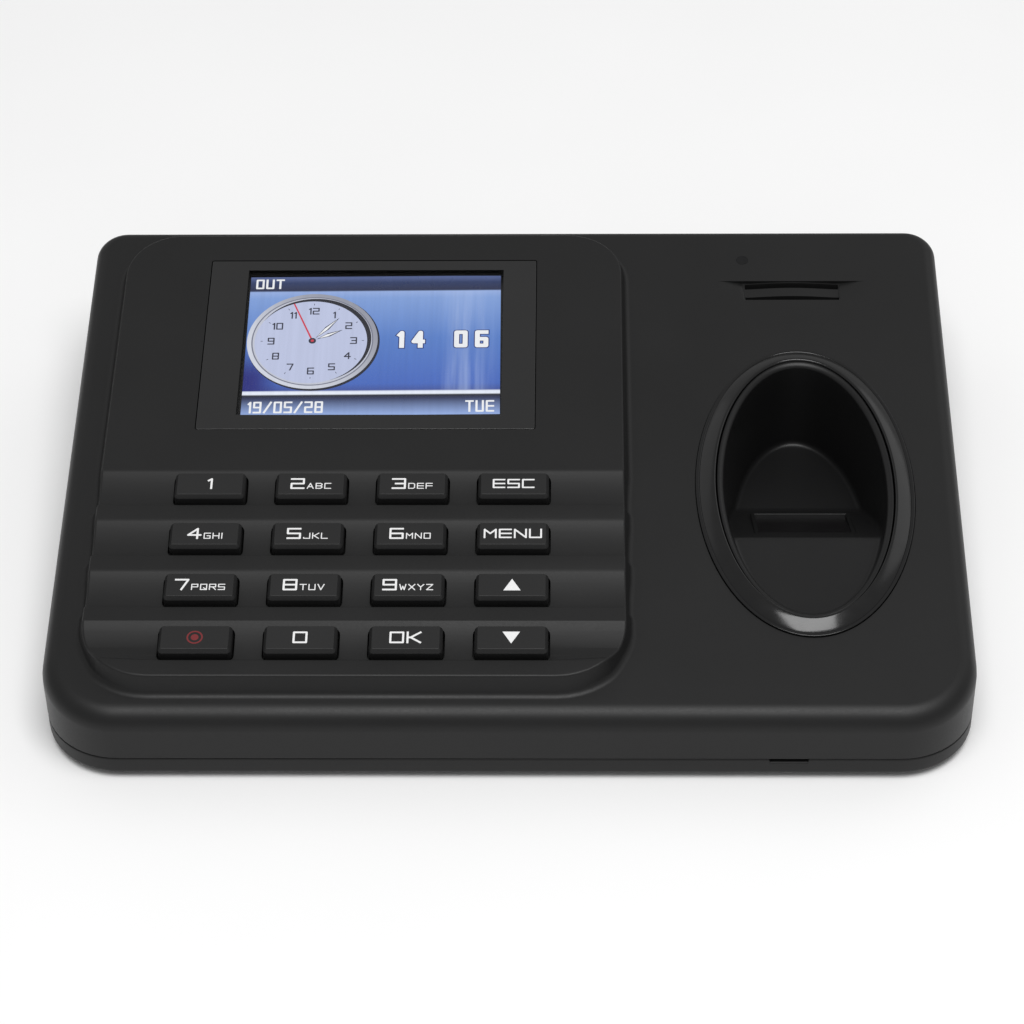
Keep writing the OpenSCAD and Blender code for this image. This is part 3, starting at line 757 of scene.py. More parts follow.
inner_wall = case_ring(WALL, lambda x, y: top_z(y) - SKIN_T)
panel_drop = [ceiling(p) for p in panel_under]
mouth_under = [ceiling(p) for p in mouth_edge]
light_under = [ceiling(p) for p in light_rim]
top_shell.band(panel_under, panel_drop)
top_shell.bands([seat_rim, seat_floor, mouth_edge, mouth_under])
top_shell.band(light_rim, light_under)
slots_under = []
for edge in slot_edges:
    brink = [SCOOP @ Vector((u, t, -scoop_depth(u, t))) for u, t in edge]
    slots_under.append([ceiling(p) for p in brink])
    top_shell.band(brink, slots_under[-1])
ceiling_loops = [inner_wall, panel_drop, mouth_under, light_under, *slots_under]
flat_face(top_shell, ceiling_loops, lambda y: top_z(y) - SKIN_T)
print("top face and ceiling are in")

# %% [markdown]
# ## The back wall and its sockets
# The back wall has an oblong opening for a memory stick and a round one for the power plug. It is
# a slab standing upright: the same helper cuts it, with the outside and the inside as its faces.

# %% Back wall
SOCKET_V, BOARD_UNDER = 112.9, -8.0
usb_low, usb_high = (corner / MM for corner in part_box("usb_socket"))
jack_low, jack_high = (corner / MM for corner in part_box("power_socket"))
usb_z = (PANEL @ Vector((0, SOCKET_V, BOARD_UNDER - 3.1))).z
jack_z = (PANEL @ Vector((0, SOCKET_V, BOARD_UNDER - 6.4))).z
usb_x, jack_x = (usb_low.x + usb_high.x) / 2, (jack_low.x + jack_high.x) / 2
inner_foot = case_ring(WALL, JOINT_Z)
m = len(case_loop)


def back_face(low, high):
    """Corners of the back wall's flat stretch, as (x, z)."""
    a, b = BACK_SIDE, (BACK_SIDE + 1) % m
    return [low[b], low[a], high[a], high[b]]


outer_back = back_face(joint_rings[-1], shoulder_rings[0])
inner_back = back_face(inner_foot, inner_wall)
usb_hole = rounded(14.4, 7.2, 0.6, 0.6, usb_x, usb_z, steps=4)
jack_hole = oval(5.2, 5.2, 40, jack_x, jack_z)
slab(
    top_shell, [[(p.x, p.z) for p in outer_back], usb_hole, jack_hole],
    lambda x, z: Vector((x, HALF_D, z)), lambda x, z: Vector((x, HALF_D - WALL, z)), under=inner_back,
)
top_shell.band(inner_foot, inner_wall, skip=[BACK_SIDE])
top_shell.band(joint_rings[0], inner_foot)
print("openings at the back: x %.1f and %.1f" % (usb_x, jack_x))

# %% The top shell as a piece
shell = mesh_piece(top_shell, "top_shell", [case_black])
belongs(shell, "case_plastic", "top_case")

# %% [markdown]
# ## The base
# The base is a shallow tray. Its rim carries a tongue that slips inside the top case, and both
# rims are rounded, so that the joint reads as a fine dark line. A dip in the front rim takes a
# screwdriver to part the halves. The underside has slots under the electronics to let heat out,
# a shallow seat for each foot, and four deep holes for the case screws.

# %% Base tray
NOTCH = (46, 46.2, 52.8, 53)
FOOT_X, FOOT_Y, SCREW_X, SCREW_Y = 62, 50, 75, 51
SEAT_Z, FLOOR_Z, UNDER_Z, TONGUE_Z = 1.6, 3.0, 1.0, 6.5
base_loop = rounded(2 * HALF_W, 2 * HALF_D, FRONT_R, BACK_R, columns=NOTCH, steps=14)
corners = [(sx, sy) for sx in (-1, 1) for sy in (-1, 1)]


def base_ring(inset, z, notched=False):
    ring = [Vector((x - nx * inset, y - ny * inset, z)) for x, y, nx, ny in base_loop]
    for p in ring:
        if notched and p.y < 0 and NOTCH[0] < p.x < NOTCH[3]:
            p.z -= 0.7
    return ring


base = Skin()
turns = [math.pi / 2 * i / 5 for i in range(5, -1, -1)]
base.bands(
    [base_ring(1.2 * (1 - math.cos(t)), UNDER_Z + 1.2 * (1 - math.sin(t))) for t in turns]
    + [base_ring(inset, JOINT_Z - down, True)
       for inset, down in ((0, 0.34), (0.06, 0.16), (0.28, 0), (2.35, 0))]
    + [base_ring(inset, z)
       for inset, z in ((2.35, TONGUE_Z - 0.2), (2.5, TONGUE_Z), (3.1, TONGUE_Z), (3.1, FLOOR_Z))]
)
seats = [oval(5.1, 5.1, 48, sx * FOOT_X, sy * FOOT_Y) for sx, sy in corners]
slots = [rounded(2, 24, 0.99, 0.99, PANEL_X + 7 * i, 18, steps=6) for i in range(-3, 4)]
bores = [oval(2.9, 2.9, 40, sx * SCREW_X, sy * SCREW_Y) for sx, sy in corners]
slab(
    base, [base_ring(1.2, UNDER_Z), *seats, *slots, *bores],
    lambda x, y: Vector((x, y, UNDER_Z)), lambda x, y: Vector((x, y, FLOOR_Z)),
    under=base_ring(3.1, FLOOR_Z), bare=4,
)
level = Matrix.Identity(4)
for seat in seats:
    base.band(placed(seat, level, UNDER_Z), placed(seat, level, SEAT_Z))
    base.cap(placed(seat, level, SEAT_Z))
    base.cap(placed(seat, level, FLOOR_Z))
boss = [(4.1, 2.6), (4.1, 4.75), (3.9, 4.95), (1.75, 4.95), (1.75, 3.2), (3.0, 3.2), (3.0, 2.6), (4.1, 2.6)]
for sx, sy in corners:
    base.bands([placed(oval(r, r, 40, sx * SCREW_X, sy * SCREW_Y), level, z) for r, z in boss])
tray = mesh_piece(base, "base_tray", [base_black])
belongs(tray, "base_plastic", "bottom_case")

# %% [markdown]
# ## Lettering from strokes
# Key legends and the display's text are drawn with straight strokes on a grid of four by six,
# much as a plotter draws them. Each stroke becomes a bar, each bend a disc, and one triangulation
# joins them all, so a letter is a single thin plate of ink with clean edges.

# %% Stroke letters
GLYPHS = {
    "0": "00 06 46 40 00", "1": "05 16 10", "2": "06 46 43 03 00 40", "3": "06 46 40 00,13 43",
    "4": "30 36 02 42", "5": "46 06 03 43 40 00", "6": "46 06 00 40 43 03", "7": "06 46 20",
    "8": "06 46 40 00 06,03 43", "9": "43 03 06 46 40 00", "/": "00 46", "A": "00 26 40,12 32",
    "B": "00 06 36 45 44 33 03,33 42 41 30 00", "C": "46 06 00 40", "D": "00 06 36 45 41 30 00",
    "E": "46 06 00 40,03 43", "F": "46 06 00,03 43", "G": "46 06 00 40 43 23", "H": "00 06,40 46,03 43",
    "I": "00 06", "J": "01 00 40 46", "K": "00 06,46 13 40,03 13", "L": "06 00 40",
    "M": "00 06 23 46 40", "N": "00 06 40 46", "O": "00 06 46 40 00", "P": "00 06 46 43 03",
    "Q": "00 06 46 40 00,22 40", "R": "00 06 46 43 03,23 40", "S": "46 06 03 43 40 00",
    "T": "06 46,26 20", "U": "06 00 40 46", "V": "06 20 46", "W": "06 10 24 30 46",
    "X": "06 40,00 46", "Y": "06 23 46,23 20", "Z": "06 46 00 40",
}


def stroke(path, weight):
    """Shapes that cover a path of points: a bar per leg and a disc per bend."""
    shapes = []
    closed = (path[0] - path[-1]).length < 1e-6
    for i, (a, b) in enumerate(zip(path, path[1:])):
        along = (b - a).normalized() * weight / 2
        across = Vector((-along.y, along.x))
        if not closed and i == 0:
            a = a - along
        if not closed and i == len(path) - 2:
            b = b + along
        shapes.append([a - across, b - across, b + across, a + across])
    bends = path[:-1] if closed else path[1:-1]
    return shapes + [oval(weight / 2 * 1.001, weight / 2 * 1.001, 14, p.x, p.y) for p in bends]


def word(text, x, y, w, h, weight, gap=0.25):
    """Shapes of a text whose lower left corner is at (x, y), and the x where it ends."""
    shapes = []
    for letter in text:
        if letter == " ":
            x += w + gap
            continue
        paths = [[(int(c[0]), int(c[1])) for c in path.split()] for path in GLYPHS[letter].split(",")]
        wide = max(gx for path in paths for gx, gy in path)
        for path in paths:
            points = [Vector((x + weight / 2 + gx / 4 * (w - weight), y + weight / 2 + gy / 6 * (h - weight)))
                      for gx, gy in path]
            shapes += stroke(points, weight)
        x += weight + wide / 4 * (w - weight) + gap
    return shapes, x - gap


def centred(shapes, x, y):
    """Moves shapes so that the middle of their box is at (x, y)."""
    xs = [p[0] for shape in shapes for p in shape]
    ys = [p[1] for shape in shapes for p in shape]
    dx, dy = x - (min(xs) + max(xs)) / 2, y - (min(ys) + max(ys)) / 2
    return [[(p[0] + dx, p[1] + dy) for p in shape] for shape in shapes]


def plate(skin, shapes, place, low, high):
    """A thin closed plate over all the shapes."""
    flat, faces, _ = triangles(shapes, overlap=True)
    upper = [place @ Vector((p.x, p.y, high)) for p in flat]
    lower = [place @ Vector((p.x, p.y, low)) for p in flat]
    n = len(upper)
    skin.add(upper, faces)
    skin.add(lower, [face[::-1] for face in faces])
    skin.add(upper + lower, [(b, a, n + a, n + b) for a, b in open_edges(faces)])


print("the alphabet has", len(GLYPHS), "signs")

# %% [markdown]
# ## Sixteen keys
# Each keycap is a low block with a chamfer round its top and a flange beneath that keeps it in
# its hole. It rides on its own body, because each key moves on its own. The legend is part of the
# cap: ink printed on the plastic, a few hundredths of a millimetre proud.

# %% Keycaps
KEY_PROUD = 1.3
FLANGE_TOP, FLANGE_UNDER, FLANGE = -3.3, -4.3, 0.75
cap_profile = [(0.62, 0), (0.52, 0.05), (0.08, 0.70), (0, 0.88)]
legends = [
    ["power", "0", "OK", "down"],
    ["7PQRS", "8TUV", "9WXYZ", "up"],
    ["4GHI", "5JKL", "6MNO", "MENU"],
    ["1", "2ABC", "3DEF", "ESC"],
]


def legend_shapes(text):
    if text == "up":
        return [[(-1.55, -1.3), (1.55, -1.3), (0, 1.35)]]
    if text == "down":
        return [[(-1.55, 1.3), (0, -1.35), (1.55, 1.3)]]
    if text in ("ESC", "MENU"):
        shapes, _ = word(text, 0, 0, 2.3 if text == "ESC" else 2.35, 2.2, 0.32, 0.38)
    elif text == "OK":
        shapes, _ = word(text, 0, 0, 2.6, 2.6, 0.36, 0.42)
    else:
        shapes, x = word(text[0], 0, 0, 2.6, 2.6, 0.37)
        more, _ = word(text[1:], x + 0.42, 0.05, 1.27, 1.4, 0.19, 0.33)
        shapes = shapes + more
    return centred(shapes, 0, 0)


def ringed_dot():
    """A disc inside a thin ring, as one set of shapes whose overlaps are left out."""
    return [oval(1.45, 1.45, 48), oval(1.15, 1.15, 48), oval(0.69, 0.69, 32)]


def key_node(text):
    """The node's name: its word, or its digit without the letters beside it."""
    is_word = text in ("up", "down", "power", "OK", "ESC", "MENU")
    return "key_" + (text.lower() if is_word else text[0])


for row, texts in enumerate(legends):
    for column, text in enumerate(texts):
        u, v = key_place(column, row)
        place = PANEL @ Matrix.Translation((u, v, 0))
        outline = key_outline(0, 0, r=0.8)
        cap = Skin()
        steps = [(-inset, KEY_PROUD - down) for inset, down in cap_profile]
        steps += [(0, FLANGE_TOP), (FLANGE, FLANGE_TOP), (FLANGE, FLANGE_UNDER)]
        rings = [placed(grown(outline, out), place, w) for out, w in steps]
        cap.bands(rings)
        cap.cap(rings[0])
        cap.cap(rings[-1])
        if text == "power":
            cap.finish = 1
            flat, faces, _ = triangles(ringed_dot())
            upper = [place @ Vector((p.x, p.y, KEY_PROUD + 0.03)) for p in flat]
            lower = [place @ Vector((p.x, p.y, KEY_PROUD - 0.03)) for p in flat]
            cap.add(upper, faces)
            cap.add(lower, [face[::-1] for face in faces])
            cap.add(upper + lower, [(b, a, len(upper) + a, len(upper) + b) for a, b in open_edges(faces)])
        else:
            cap.finish = 1
            plate(cap, legend_shapes(text), place, KEY_PROUD - 0.03, KEY_PROUD + 0.03)
        node = key_node(text)
        finishes = [key_black, red_ink if text == "power" else white_ink]
        piece = mesh_piece(cap, "cap_" + node[4:], finishes)
        slot = "key_power_plastic" if text == "power" else "key_plastic"
        belongs(piece, slot, node, body=node)

# %% [markdown]
# ## The display window
# The window is a flat plate of smoked acrylic, printed black on its back round a clear middle. On
# the model the print is the plate's own dark finish, and the clear middle lets light through: the
# alpha falls where two masks, one across and one along the panel, are both inside their limits.

# %% Distances along a part
def along(finish, axis, origin):
    """Distance in millimetres along an axis, from the origin."""
    unit = axis.normalized()
    values = {0: finish.where, 1: unit / MM}
    return finish.node("ShaderNodeVectorMath", {"operation": "DOT_PRODUCT"}, values, out=1) - unit.dot(origin)


def smooth(finish, value, low, high):
    """0 below low, 1 above high, and a soft step between."""
    values = {"Value": value, "From Min": low, "From Max": high}
    return finish.node("ShaderNodeMapRange", {"interpolation_type": "SMOOTHSTEP"}, values)


def axes(matrix):
    return matrix.col[0].xyz, matrix.col[1].xyz, matrix.translation


# %% Window
CLEAR_W, CLEAR_L, CLEAR_V = 49.8, 38.2, 80.8
CLEAR_X = PANEL_X + 0.47


def window_print():
    finish = Finish("printed window acrylic")
    across, up, _ = axes(PANEL)
    middle = PANEL @ Vector((CLEAR_X, CLEAR_V, 0))
    in_width = abs(along(finish, across, middle)) < CLEAR_W / 2
    in_length = abs(along(finish, up, middle)) < CLEAR_L / 2
    cloud = finish.noise(18, 2)
    finish.bump(finish.noise(3, 2), 0.0008)
    return finish.set({
        "Base Color": finish.mix(cloud, (0.0140, 0.0140, 0.0142), (0.0160, 0.0160, 0.0162)),
        "Roughness": cloud * 0.06 + 0.20,
        "Alpha": in_width * in_length * -0.94 + 1,
    })


window_black = window_print()
window = Skin()
window_loop = rounded(WINDOW_W, WINDOW_L, 0.35, 0.35, PANEL_X, WINDOW_V, steps=3)
edges = [(0.15, -WINDOW_T), (0, -1.45), (0, -0.16), (0.05, -0.05), (0.16, 0)]
rings = [placed(grown(window_loop, -inset), PANEL, w) for inset, w in edges]
window.bands(rings)
window.cap(rings[0])
window.cap(rings[-1])
belongs(mesh_piece(window, "window", [window_black]), "window_acrylic", "display_lens")

# %% [markdown]
# ## The lit picture
# The display's picture is light, so its finish glows. Its background is a ramp of blues from top
# to bottom, with a dark title bar, a white rule and a date bar. The clock's rim and face are rings
# in the same finish: each is where the distance from the clock's middle is below a limit. The rim
# darkens to one side and the face has a crescent of shade, as if lit from the lower left.

# %% Picture background
PICTURE_W, PICTURE_H = 48.96, 36.72
GLASS_TOP = -2.1
PICTURE_V = 81.9
PICTURE_TURN = Matrix.Rotation(math.radians(0.51), 4, "Z")
PICTURE = PANEL @ Matrix.Translation((CLEAR_X, PICTURE_V, GLASS_TOP)) @ PICTURE_TURN
CLOCK = (-11.75, 1.05)
blues = [
    (0.0, (92, 106, 152)), (0.045, (50, 63, 102)), (0.104, (28, 36, 70)), (0.112, (150, 175, 226)),
    (0.16, (128, 160, 218)), (0.45, (86, 126, 200)), (0.78, (68, 104, 190)), (0.826, (62, 84, 158)),
    (0.834, (232, 238, 252)), (0.852, (236, 242, 255)), (0.860, (16, 19, 34)), (0.885, (44, 53, 90)),
    (1.0, (150, 176, 230)),
]


def picture_light():
    finish = Finish("lit display picture")
    x_axis, y_axis, middle = axes(PICTURE)
    x, y = along(finish, x_axis, middle), along(finish, y_axis, middle)
    down = y * (-1 / PICTURE_H) + 0.5
    stops = {"stops": [(at, screen_colour(*c)) for at, c in blues]}
    colour = finish.node("ShaderNodeValToRGB", stops, {"Fac": down})
    sky = (down > 0.112) * (down < 0.828)
    rays = finish.noise(2.4, 3, (1, 0.06, 0.06))
    haze = smooth(finish, abs(x - 17.5), 8.0, 0.0) * smooth(finish, rays, 0.35, 0.75) * sky
    colour = finish.mix(haze * 0.55, colour, screen_colour(176, 196, 238))
    corner = smooth(finish, x, -16.0, -23.0) * smooth(finish, y, 1.0, -9.0) * sky
    colour = finish.mix(corner, colour, screen_colour(28, 36, 124))
    dx, dy = x - CLOCK[0], y - CLOCK[1]

    def ring(cx, cy, r):
        ex, ey = dx - cx, dy - cy
        return (ex * ex + ey * ey) < r * r

    side = smooth(finish, dx * 0.72 + dy * 0.69, -11.0, 12.0)
    colour = finish.mix(ring(0.25, -0.35, 12.75), colour, screen_colour(24, 27, 44))
    rim = finish.mix(side, screen_colour(212, 216, 228), screen_colour(150, 153, 166))
    colour = finish.mix(ring(0, 0, 12.6), colour, rim)
    colour = finish.mix(ring(0, 0, 11.75), colour, screen_colour(118, 121, 138))
    colour = finish.mix(ring(0, 0, 11.5), colour, screen_colour(196, 200, 214))
    colour = finish.mix(ring(0.25, 0.2, 11.1), colour, screen_colour(30, 31, 42))
    colour = finish.mix(ring(-0.28, -0.25, 10.85), colour, screen_colour(190, 198, 227))
    streaks = finish.mix(finish.noise(0.8, 2, (1, 0.04, 0.04)), (0.90, 0.90, 0.90), (1.06, 1.06, 1.06))
    multiply = {"data_type": "RGBA", "blend_type": "MULTIPLY"}
    colour = finish.node("ShaderNodeMix", multiply, {0: 1.0, 6: colour, 7: streaks}, out=2)
    lit = (abs(x) < PICTURE_W / 2) * (abs(y) < PICTURE_H / 2)
    return finish.set({
        "Base Color": finish.mix(finish.noise(14, 2), (0.0165, 0.0165, 0.0170), (0.0185, 0.0185, 0.0190)),
        "Emission Color": finish.mix(lit, (0, 0, 0), colour),
        "Emission Strength": 1.06,
        "Roughness": finish.noise(6, 2) * 0.08 + 0.24,
    })


# %% [markdown]
# Numerals, hands and text are thin plates on the glass, each with its own glow. The words and
# numbers are what any such terminal shows: time, date, weekday, and whether a person comes or goes.

# %% Picture plates
def glow(name, red, green, blue):
    finish = Finish(name)
    colour = screen_colour(red, green, blue)
    dim = tuple(c * 0.86 for c in colour)
    return finish.set({
        "Base Color": (0.01, 0.01, 0.01),
        "Emission Color": finish.mix(finish.noise(0.8, 2, (1, 0.04, 0.04)), dim, colour),
        "Emission Strength": 1.04,
        "Roughness": finish.noise(6, 2) * 0.08 + 0.24,
    })


lights = [
    picture_light(), glow("glow white", 250, 252, 255), glow("glow ink", 52, 54, 70),
    glow("glow red", 214, 66, 84), glow("glow navy", 36, 52, 118),
]
WHITE, INK, RED, NAVY = range(1, 5)
glass = Skin()
glass_loop = rounded(56.6, 41.2, 0.4, 0.4, PANEL_X, SIGHT_V, steps=3)
rings = [placed(glass_loop, PANEL, w) for w in (GLASS_TOP, GLASS_TOP - 1.3)]
glass.band(*rings)
glass.cap(rings[0])
glass.cap(rings[1])


def show(shapes, finish, level):
    """A plate of light on the glass. Higher levels lie on lower ones."""
    glass.finish = finish
    plate(glass, shapes, PICTURE, -0.01, 0.012 * level)


def picture_word(text, u, v, w, h, weight, gap):
    return word(text, (u - 0.5) * PICTURE_W, (0.5 - v) * PICTURE_H, w, h, weight, gap)[0]


def hand(turn, reach, half, root=0.0, waist=0.55):
    """Leaf-shaped clock hand. turn is in degrees from twelve."""
    spin = Matrix.Rotation(math.radians(-turn), 2)
    leaf = [(0, root), (half, reach * waist), (0, reach), (-half, reach * waist)]
    return [[tuple(Vector(CLOCK) + spin @ Vector(p)) for p in leaf]]


bar_texts = [
    ("OUT", 0.022, 0.088, 1.62, 2.6),
    ("19/05/28", 0.025, 0.983, 1.60, 2.95),
    ("TUE", 0.866, 0.983, 1.60, 2.95),
]
for text, u, v, w, h in bar_texts:
    show(picture_word(text, u, v, w, h, 0.40, 0.34), WHITE, 1)
for text, u in (("14", 0.594), ("06", 0.818)):
    x, y = (u - 0.5) * PICTURE_W, (0.5 - 0.527) * PICTURE_H
    parts = word(text, x, y, 2.6, 4.5, 0.95, 1.4)[0]
    show(word(text, x - 0.2, y - 0.2, 3.0, 4.9, 1.35, 1.0)[0], NAVY, 1)
    show(parts, WHITE, 2)
for hour in range(1, 13):
    turn = math.radians(30 * hour)
    at = Vector(CLOCK) + 7.95 * Vector((math.sin(turn), math.cos(turn)))
    show(centred(word(str(hour), 0, 0, 1.35, 1.8, 0.27, 0.2)[0], *at), INK, 1)
for turn, reach, root in ((39.4, 7.9, 0.9), (63.5, 6.4, 0.9)):
    show(hand(turn, reach, 0.46, root), INK, 2)
    show(hand(turn, reach - 0.7, 0.27, root + 0.5), WHITE, 3)
seconds_turn = Matrix.Rotation(math.radians(21.5), 2)
needle = [(-0.17, 0), (0.17, 0), (0.14, 10.7), (-0.14, 10.7)]
show([[tuple(Vector(CLOCK) + seconds_turn @ Vector(p)) for p in needle]], RED, 4)
show([oval(0.72, 0.72, 28, *CLOCK)], INK, 5)
show([oval(0.32, 0.32, 20, *CLOCK)], RED, 6)
belongs(mesh_piece(glass, "display_glass_plate", lights), "display_glass", "display_panel")

# %% [markdown]
# ## The trim ring
# The ring is a turned shape stretched into an oval: a step at its foot, a soft rise, a crown, and
# a roll down into the mouth. Its profile is a short list of insets and heights, and each pair
# becomes an oval loop. Piano black shows every change of curve, so the crown has many loops.

# %% Ring
profile = [
    (0, -0.75), (0, 0.22), (0.05, 0.33), (0.14, 0.38), (0.56, 0.40), (0.64, 0.36), (0.70, 0.30), (0.80, 0.40),
    (1.2, 0.61), (1.6, 0.81), (2.0, 0.99), (2.4, 1.16), (2.8, 1.31), (3.1, 1.41), (3.3, 1.46), (3.48, 1.45),
    (3.61, 1.37), (3.69, 1.22), (3.72, 1.0), (3.72, -0.75), (0, -0.75),
]
ring = Skin()
ring.bands([placed(oval(RING_A - s, RING_B - s, 128), WELL, w) for s, w in profile])
belongs(mesh_piece(ring, "trim_ring", [ring_black], crisp=60), "ring_gloss", "well_ring")

# %% [markdown]
# ## The finger well
# The well is a deep oval cup. At the front a shelf carries the finger, then the floor drops along
# a slope that holds the reader's window, and ends flat. Seen from the side that is one curve, the
# same at every width, so the floor is a flat drawing lifted by it. The wall is a tapering oval
# column. Each point of it goes straight down the column until it meets the floor curve, which a
# bisection finds, and a small fillet joins the two.

# %% Well shape
WELL_DEEP = 20.0
SHELF, CREST_Y, WELL_FLOOR, READER_SLOPE = 2.0, -17.4, 6.5, math.radians(31)
CREST_Z = top_z(CREST_Y) - SHELF
FLOOR_Y = CREST_Y + (CREST_Z - WELL_FLOOR) / math.tan(READER_SLOPE)
FILLET = 1.2


def bend(x, start, slope_a, slope_b, half):
    """How far a curve rises over its first slope, with a soft change to the second at start."""
    t = min(1, max(0, (x - start + half) / (2 * half)))
    return slope_a * (x - start) + (slope_b - slope_a) * (half * t * t if t < 1 else x - start)


def floor_z(y):
    """Side view of the well's floor."""
    drop = -math.tan(READER_SLOPE)
    z = CREST_Z + bend(y, CREST_Y, math.tan(TOP_SLOPE), drop, 0.9)
    if y > FLOOR_Y - 1.2:
        z = WELL_FLOOR + bend(y, FLOOR_Y, drop, 0, 1.2)
    return z


def column(turn, w, grow=0.0):
    """Point of the well's wall at a turn round the oval and a height w in the ring's frame."""
    a = (MOUTH_A + grow) * (1 + 0.17 * w / WELL_DEEP)
    b = (MOUTH_B + grow) * (1 + 0.07 * w / WELL_DEEP)
    return WELL @ Vector((a * math.cos(turn), b * math.sin(turn), w))


def down_to(turn, height, grow=0.0):
    """Where the wall at a turn meets the floor curve raised by a height."""
    low, high = -30.0, 2.0
    for _ in range(40):
        w = (low + high) / 2
        p = column(turn, w, grow)
        low, high = (w, high) if p.z < floor_z(p.y) + height else (low, w)
    return column(turn, (low + high) / 2, grow)


def turn_at(row):
    """Turn on the right side where the floor's edge crosses a row."""
    low, high = -math.pi / 2, math.pi / 2
    for _ in range(40):
        turn = (low + high) / 2
        low, high = (turn, high) if down_to(turn, 0, -FILLET).y < row else (low, turn)
    return turn


bend_rows = [CREST_Y - 0.9 + 1.8 * i / 6 for i in range(7)] + [FLOOR_Y - 1.2 + 2.4 * i / 6 for i in range(7)]
pairs = [(turn_at(row) % (2 * math.pi), math.pi - turn_at(row)) for row in bend_rows]
turns = sorted({2 * math.pi * i / 160 for i in range(160)} | {turn for pair in pairs for turn in pair})
floor_folds = [(turns.index(a), turns.index(b)) for a, b in pairs]
wall_top = [column(t, 0.3) for t in turns]
meeting = [down_to(t, FILLET) for t in turns]
inner = [down_to(t, 0, -FILLET) for t in turns]
corner_points = [down_to(t, 0) for t in turns]
well = Skin()


def between(a, b, t):
    return [p.lerp(q, t) for p, q in zip(a, b)]


lip_profile = [(1.35, -4.4), (1.35, 0.95), (1.25, 1.08), (1.0, 1.12), (0.7, 1.04), (0.35, 0.82), (0.12, 0.6)]
lip = [
    [WELL @ Vector(((MOUTH_A + out) * math.cos(t), (MOUTH_B + out) * math.sin(t), w)) for t in turns]
    for out, w in lip_profile
]
walls = [between(wall_top, meeting, i / 6) for i in range(7)]
fillets = []
for i in range(1, 7):
    t = i / 6
    first, last = between(meeting, corner_points, t), between(corner_points, inner, t)
    fillets.append(between(first, last, t))
well.bands(lip + walls + fillets)
print("well floor from z %.1f to %.1f, slope ends at y %.1f" % (CREST_Z, WELL_FLOOR, FLOOR_Y))

# %% [markdown]
# The floor sheet needs points across it wherever the curve bends, so fold lines run from side to
# side there. The reader's window is a hole in the slope. Its frame is flush where the finger comes
# in and rises towards the far end, where its edge catches the light as two thin lines.

# %% Well floor, reader window and outside
READER = sloped(WELL_X, CREST_Y, CREST_Z, -READER_SLOPE)
SIGHT_LOW, SIGHT_HIGH, SIGHT_HALF = 4.6, 18.0, 8.5


def reader_loop(grow):
    """Outline of the reader's window, grown, in the slope's frame."""
    x, low, high = SIGHT_HALF + grow, SIGHT_LOW - grow, SIGHT_HIGH + grow
    return [(-x, low), (x, low), (x, high), (-x, high)]


frame_foot = [READER @ Vector((x, y, 0)) for x, y in reader_loop(0.9)]
flat, floor_faces, _ = triangles([fillets[-1], frame_foot], floor_folds)
well.add([(p.x, p.y, floor_z(p.y)) for p in flat], floor_faces)
frame_steps = [(0.9, 0), (0.75, 0.64), (0.6, 0.72), (0.12, 0.72), (0.05, 0.6)]
frame_rings = []
for grow, w in frame_steps:
    tilt = [max(0.03, (y - SIGHT_LOW) / (SIGHT_HIGH - SIGHT_LOW)) for _, y in reader_loop(grow)]
    frame_rings.append([READER @ Vector((x, y, w * t)) for (x, y), t in zip(reader_loop(grow), tilt)])
frame_rings.append(placed(reader_loop(0.05), READER, -1.6))
well.bands(frame_rings)
under = [down_to(t, -1.5, 1.35) for t in turns]
flat, belly_faces, _ = triangles([under, frame_rings[-1]])
outline = {(round(p.x, 4), round(p.y, 4)): p.z for p in under + frame_rings[-1]}
belly_z = [outline.get((round(p.x, 4), round(p.y, 4)), floor_z(p.y) - 1.6) for p in flat]
well.add([(p.x, p.y, z) for p, z in zip(flat, belly_z)], belly_faces)
well.bands([lip[0], between(lip[0], under, 0.5), under])
belongs(mesh_piece(well, "finger_cup", [well_black], crisp=50), "well_plastic", "finger_well")

# %% [markdown]
# ## Things that repeat
# Feet, case screws and the marks round the clock repeat in a pattern. Geometry Nodes places them:
# one part is drawn once, instanced on the points of a grid or a circle, made real and painted. The
# pattern's sizes are named inputs, so the same tree serves a grid of any size.

# %% Patterns in Geometry Nodes
def pattern_tree(name, sizes, points_kind, links, turned=False):
    """A tree that instances its input geometry on a mesh made from named sizes."""
    tree = bpy.data.node_groups.new(name, "GeometryNodeTree")
    face = tree.interface
    face.new_socket("Part", in_out="INPUT", socket_type="NodeSocketGeometry")
    for label, kind in sizes:
        face.new_socket(label, in_out="INPUT", socket_type=kind)
    face.new_socket("Finish", in_out="INPUT", socket_type="NodeSocketMaterial")
    face.new_socket("Geometry", in_out="OUTPUT", socket_type="NodeSocketGeometry")
    given, result = tree.nodes.new("NodeGroupInput"), tree.nodes.new("NodeGroupOutput")
    points = tree.nodes.new(points_kind)
    place = tree.nodes.new("GeometryNodeInstanceOnPoints")
    real = tree.nodes.new("GeometryNodeRealizeInstances")
    paint = tree.nodes.new("GeometryNodeSetMaterial")
    join = tree.links.new
    for label, socket in links:
        join(given.outputs[label], points.inputs[socket])
    join(points.outputs["Mesh"], place.inputs["Points"])
    join(given.outputs["Part"], place.inputs["Instance"])
    if turned:
        position = tree.nodes.new("GeometryNodeInputPosition")
        align = tree.nodes.new("FunctionNodeAlignRotationToVector")
        align.axis = "Y"
        join(position.outputs[0], align.inputs["Vector"])
        join(align.outputs[0], place.inputs["Rotation"])
    join(place.outputs[0], real.inputs[0])
    join(real.outputs[0], paint.inputs["Geometry"])
    join(given.outputs["Finish"], paint.inputs["Material"])
    join(paint.outputs[0], result.inputs[0])
    return tree


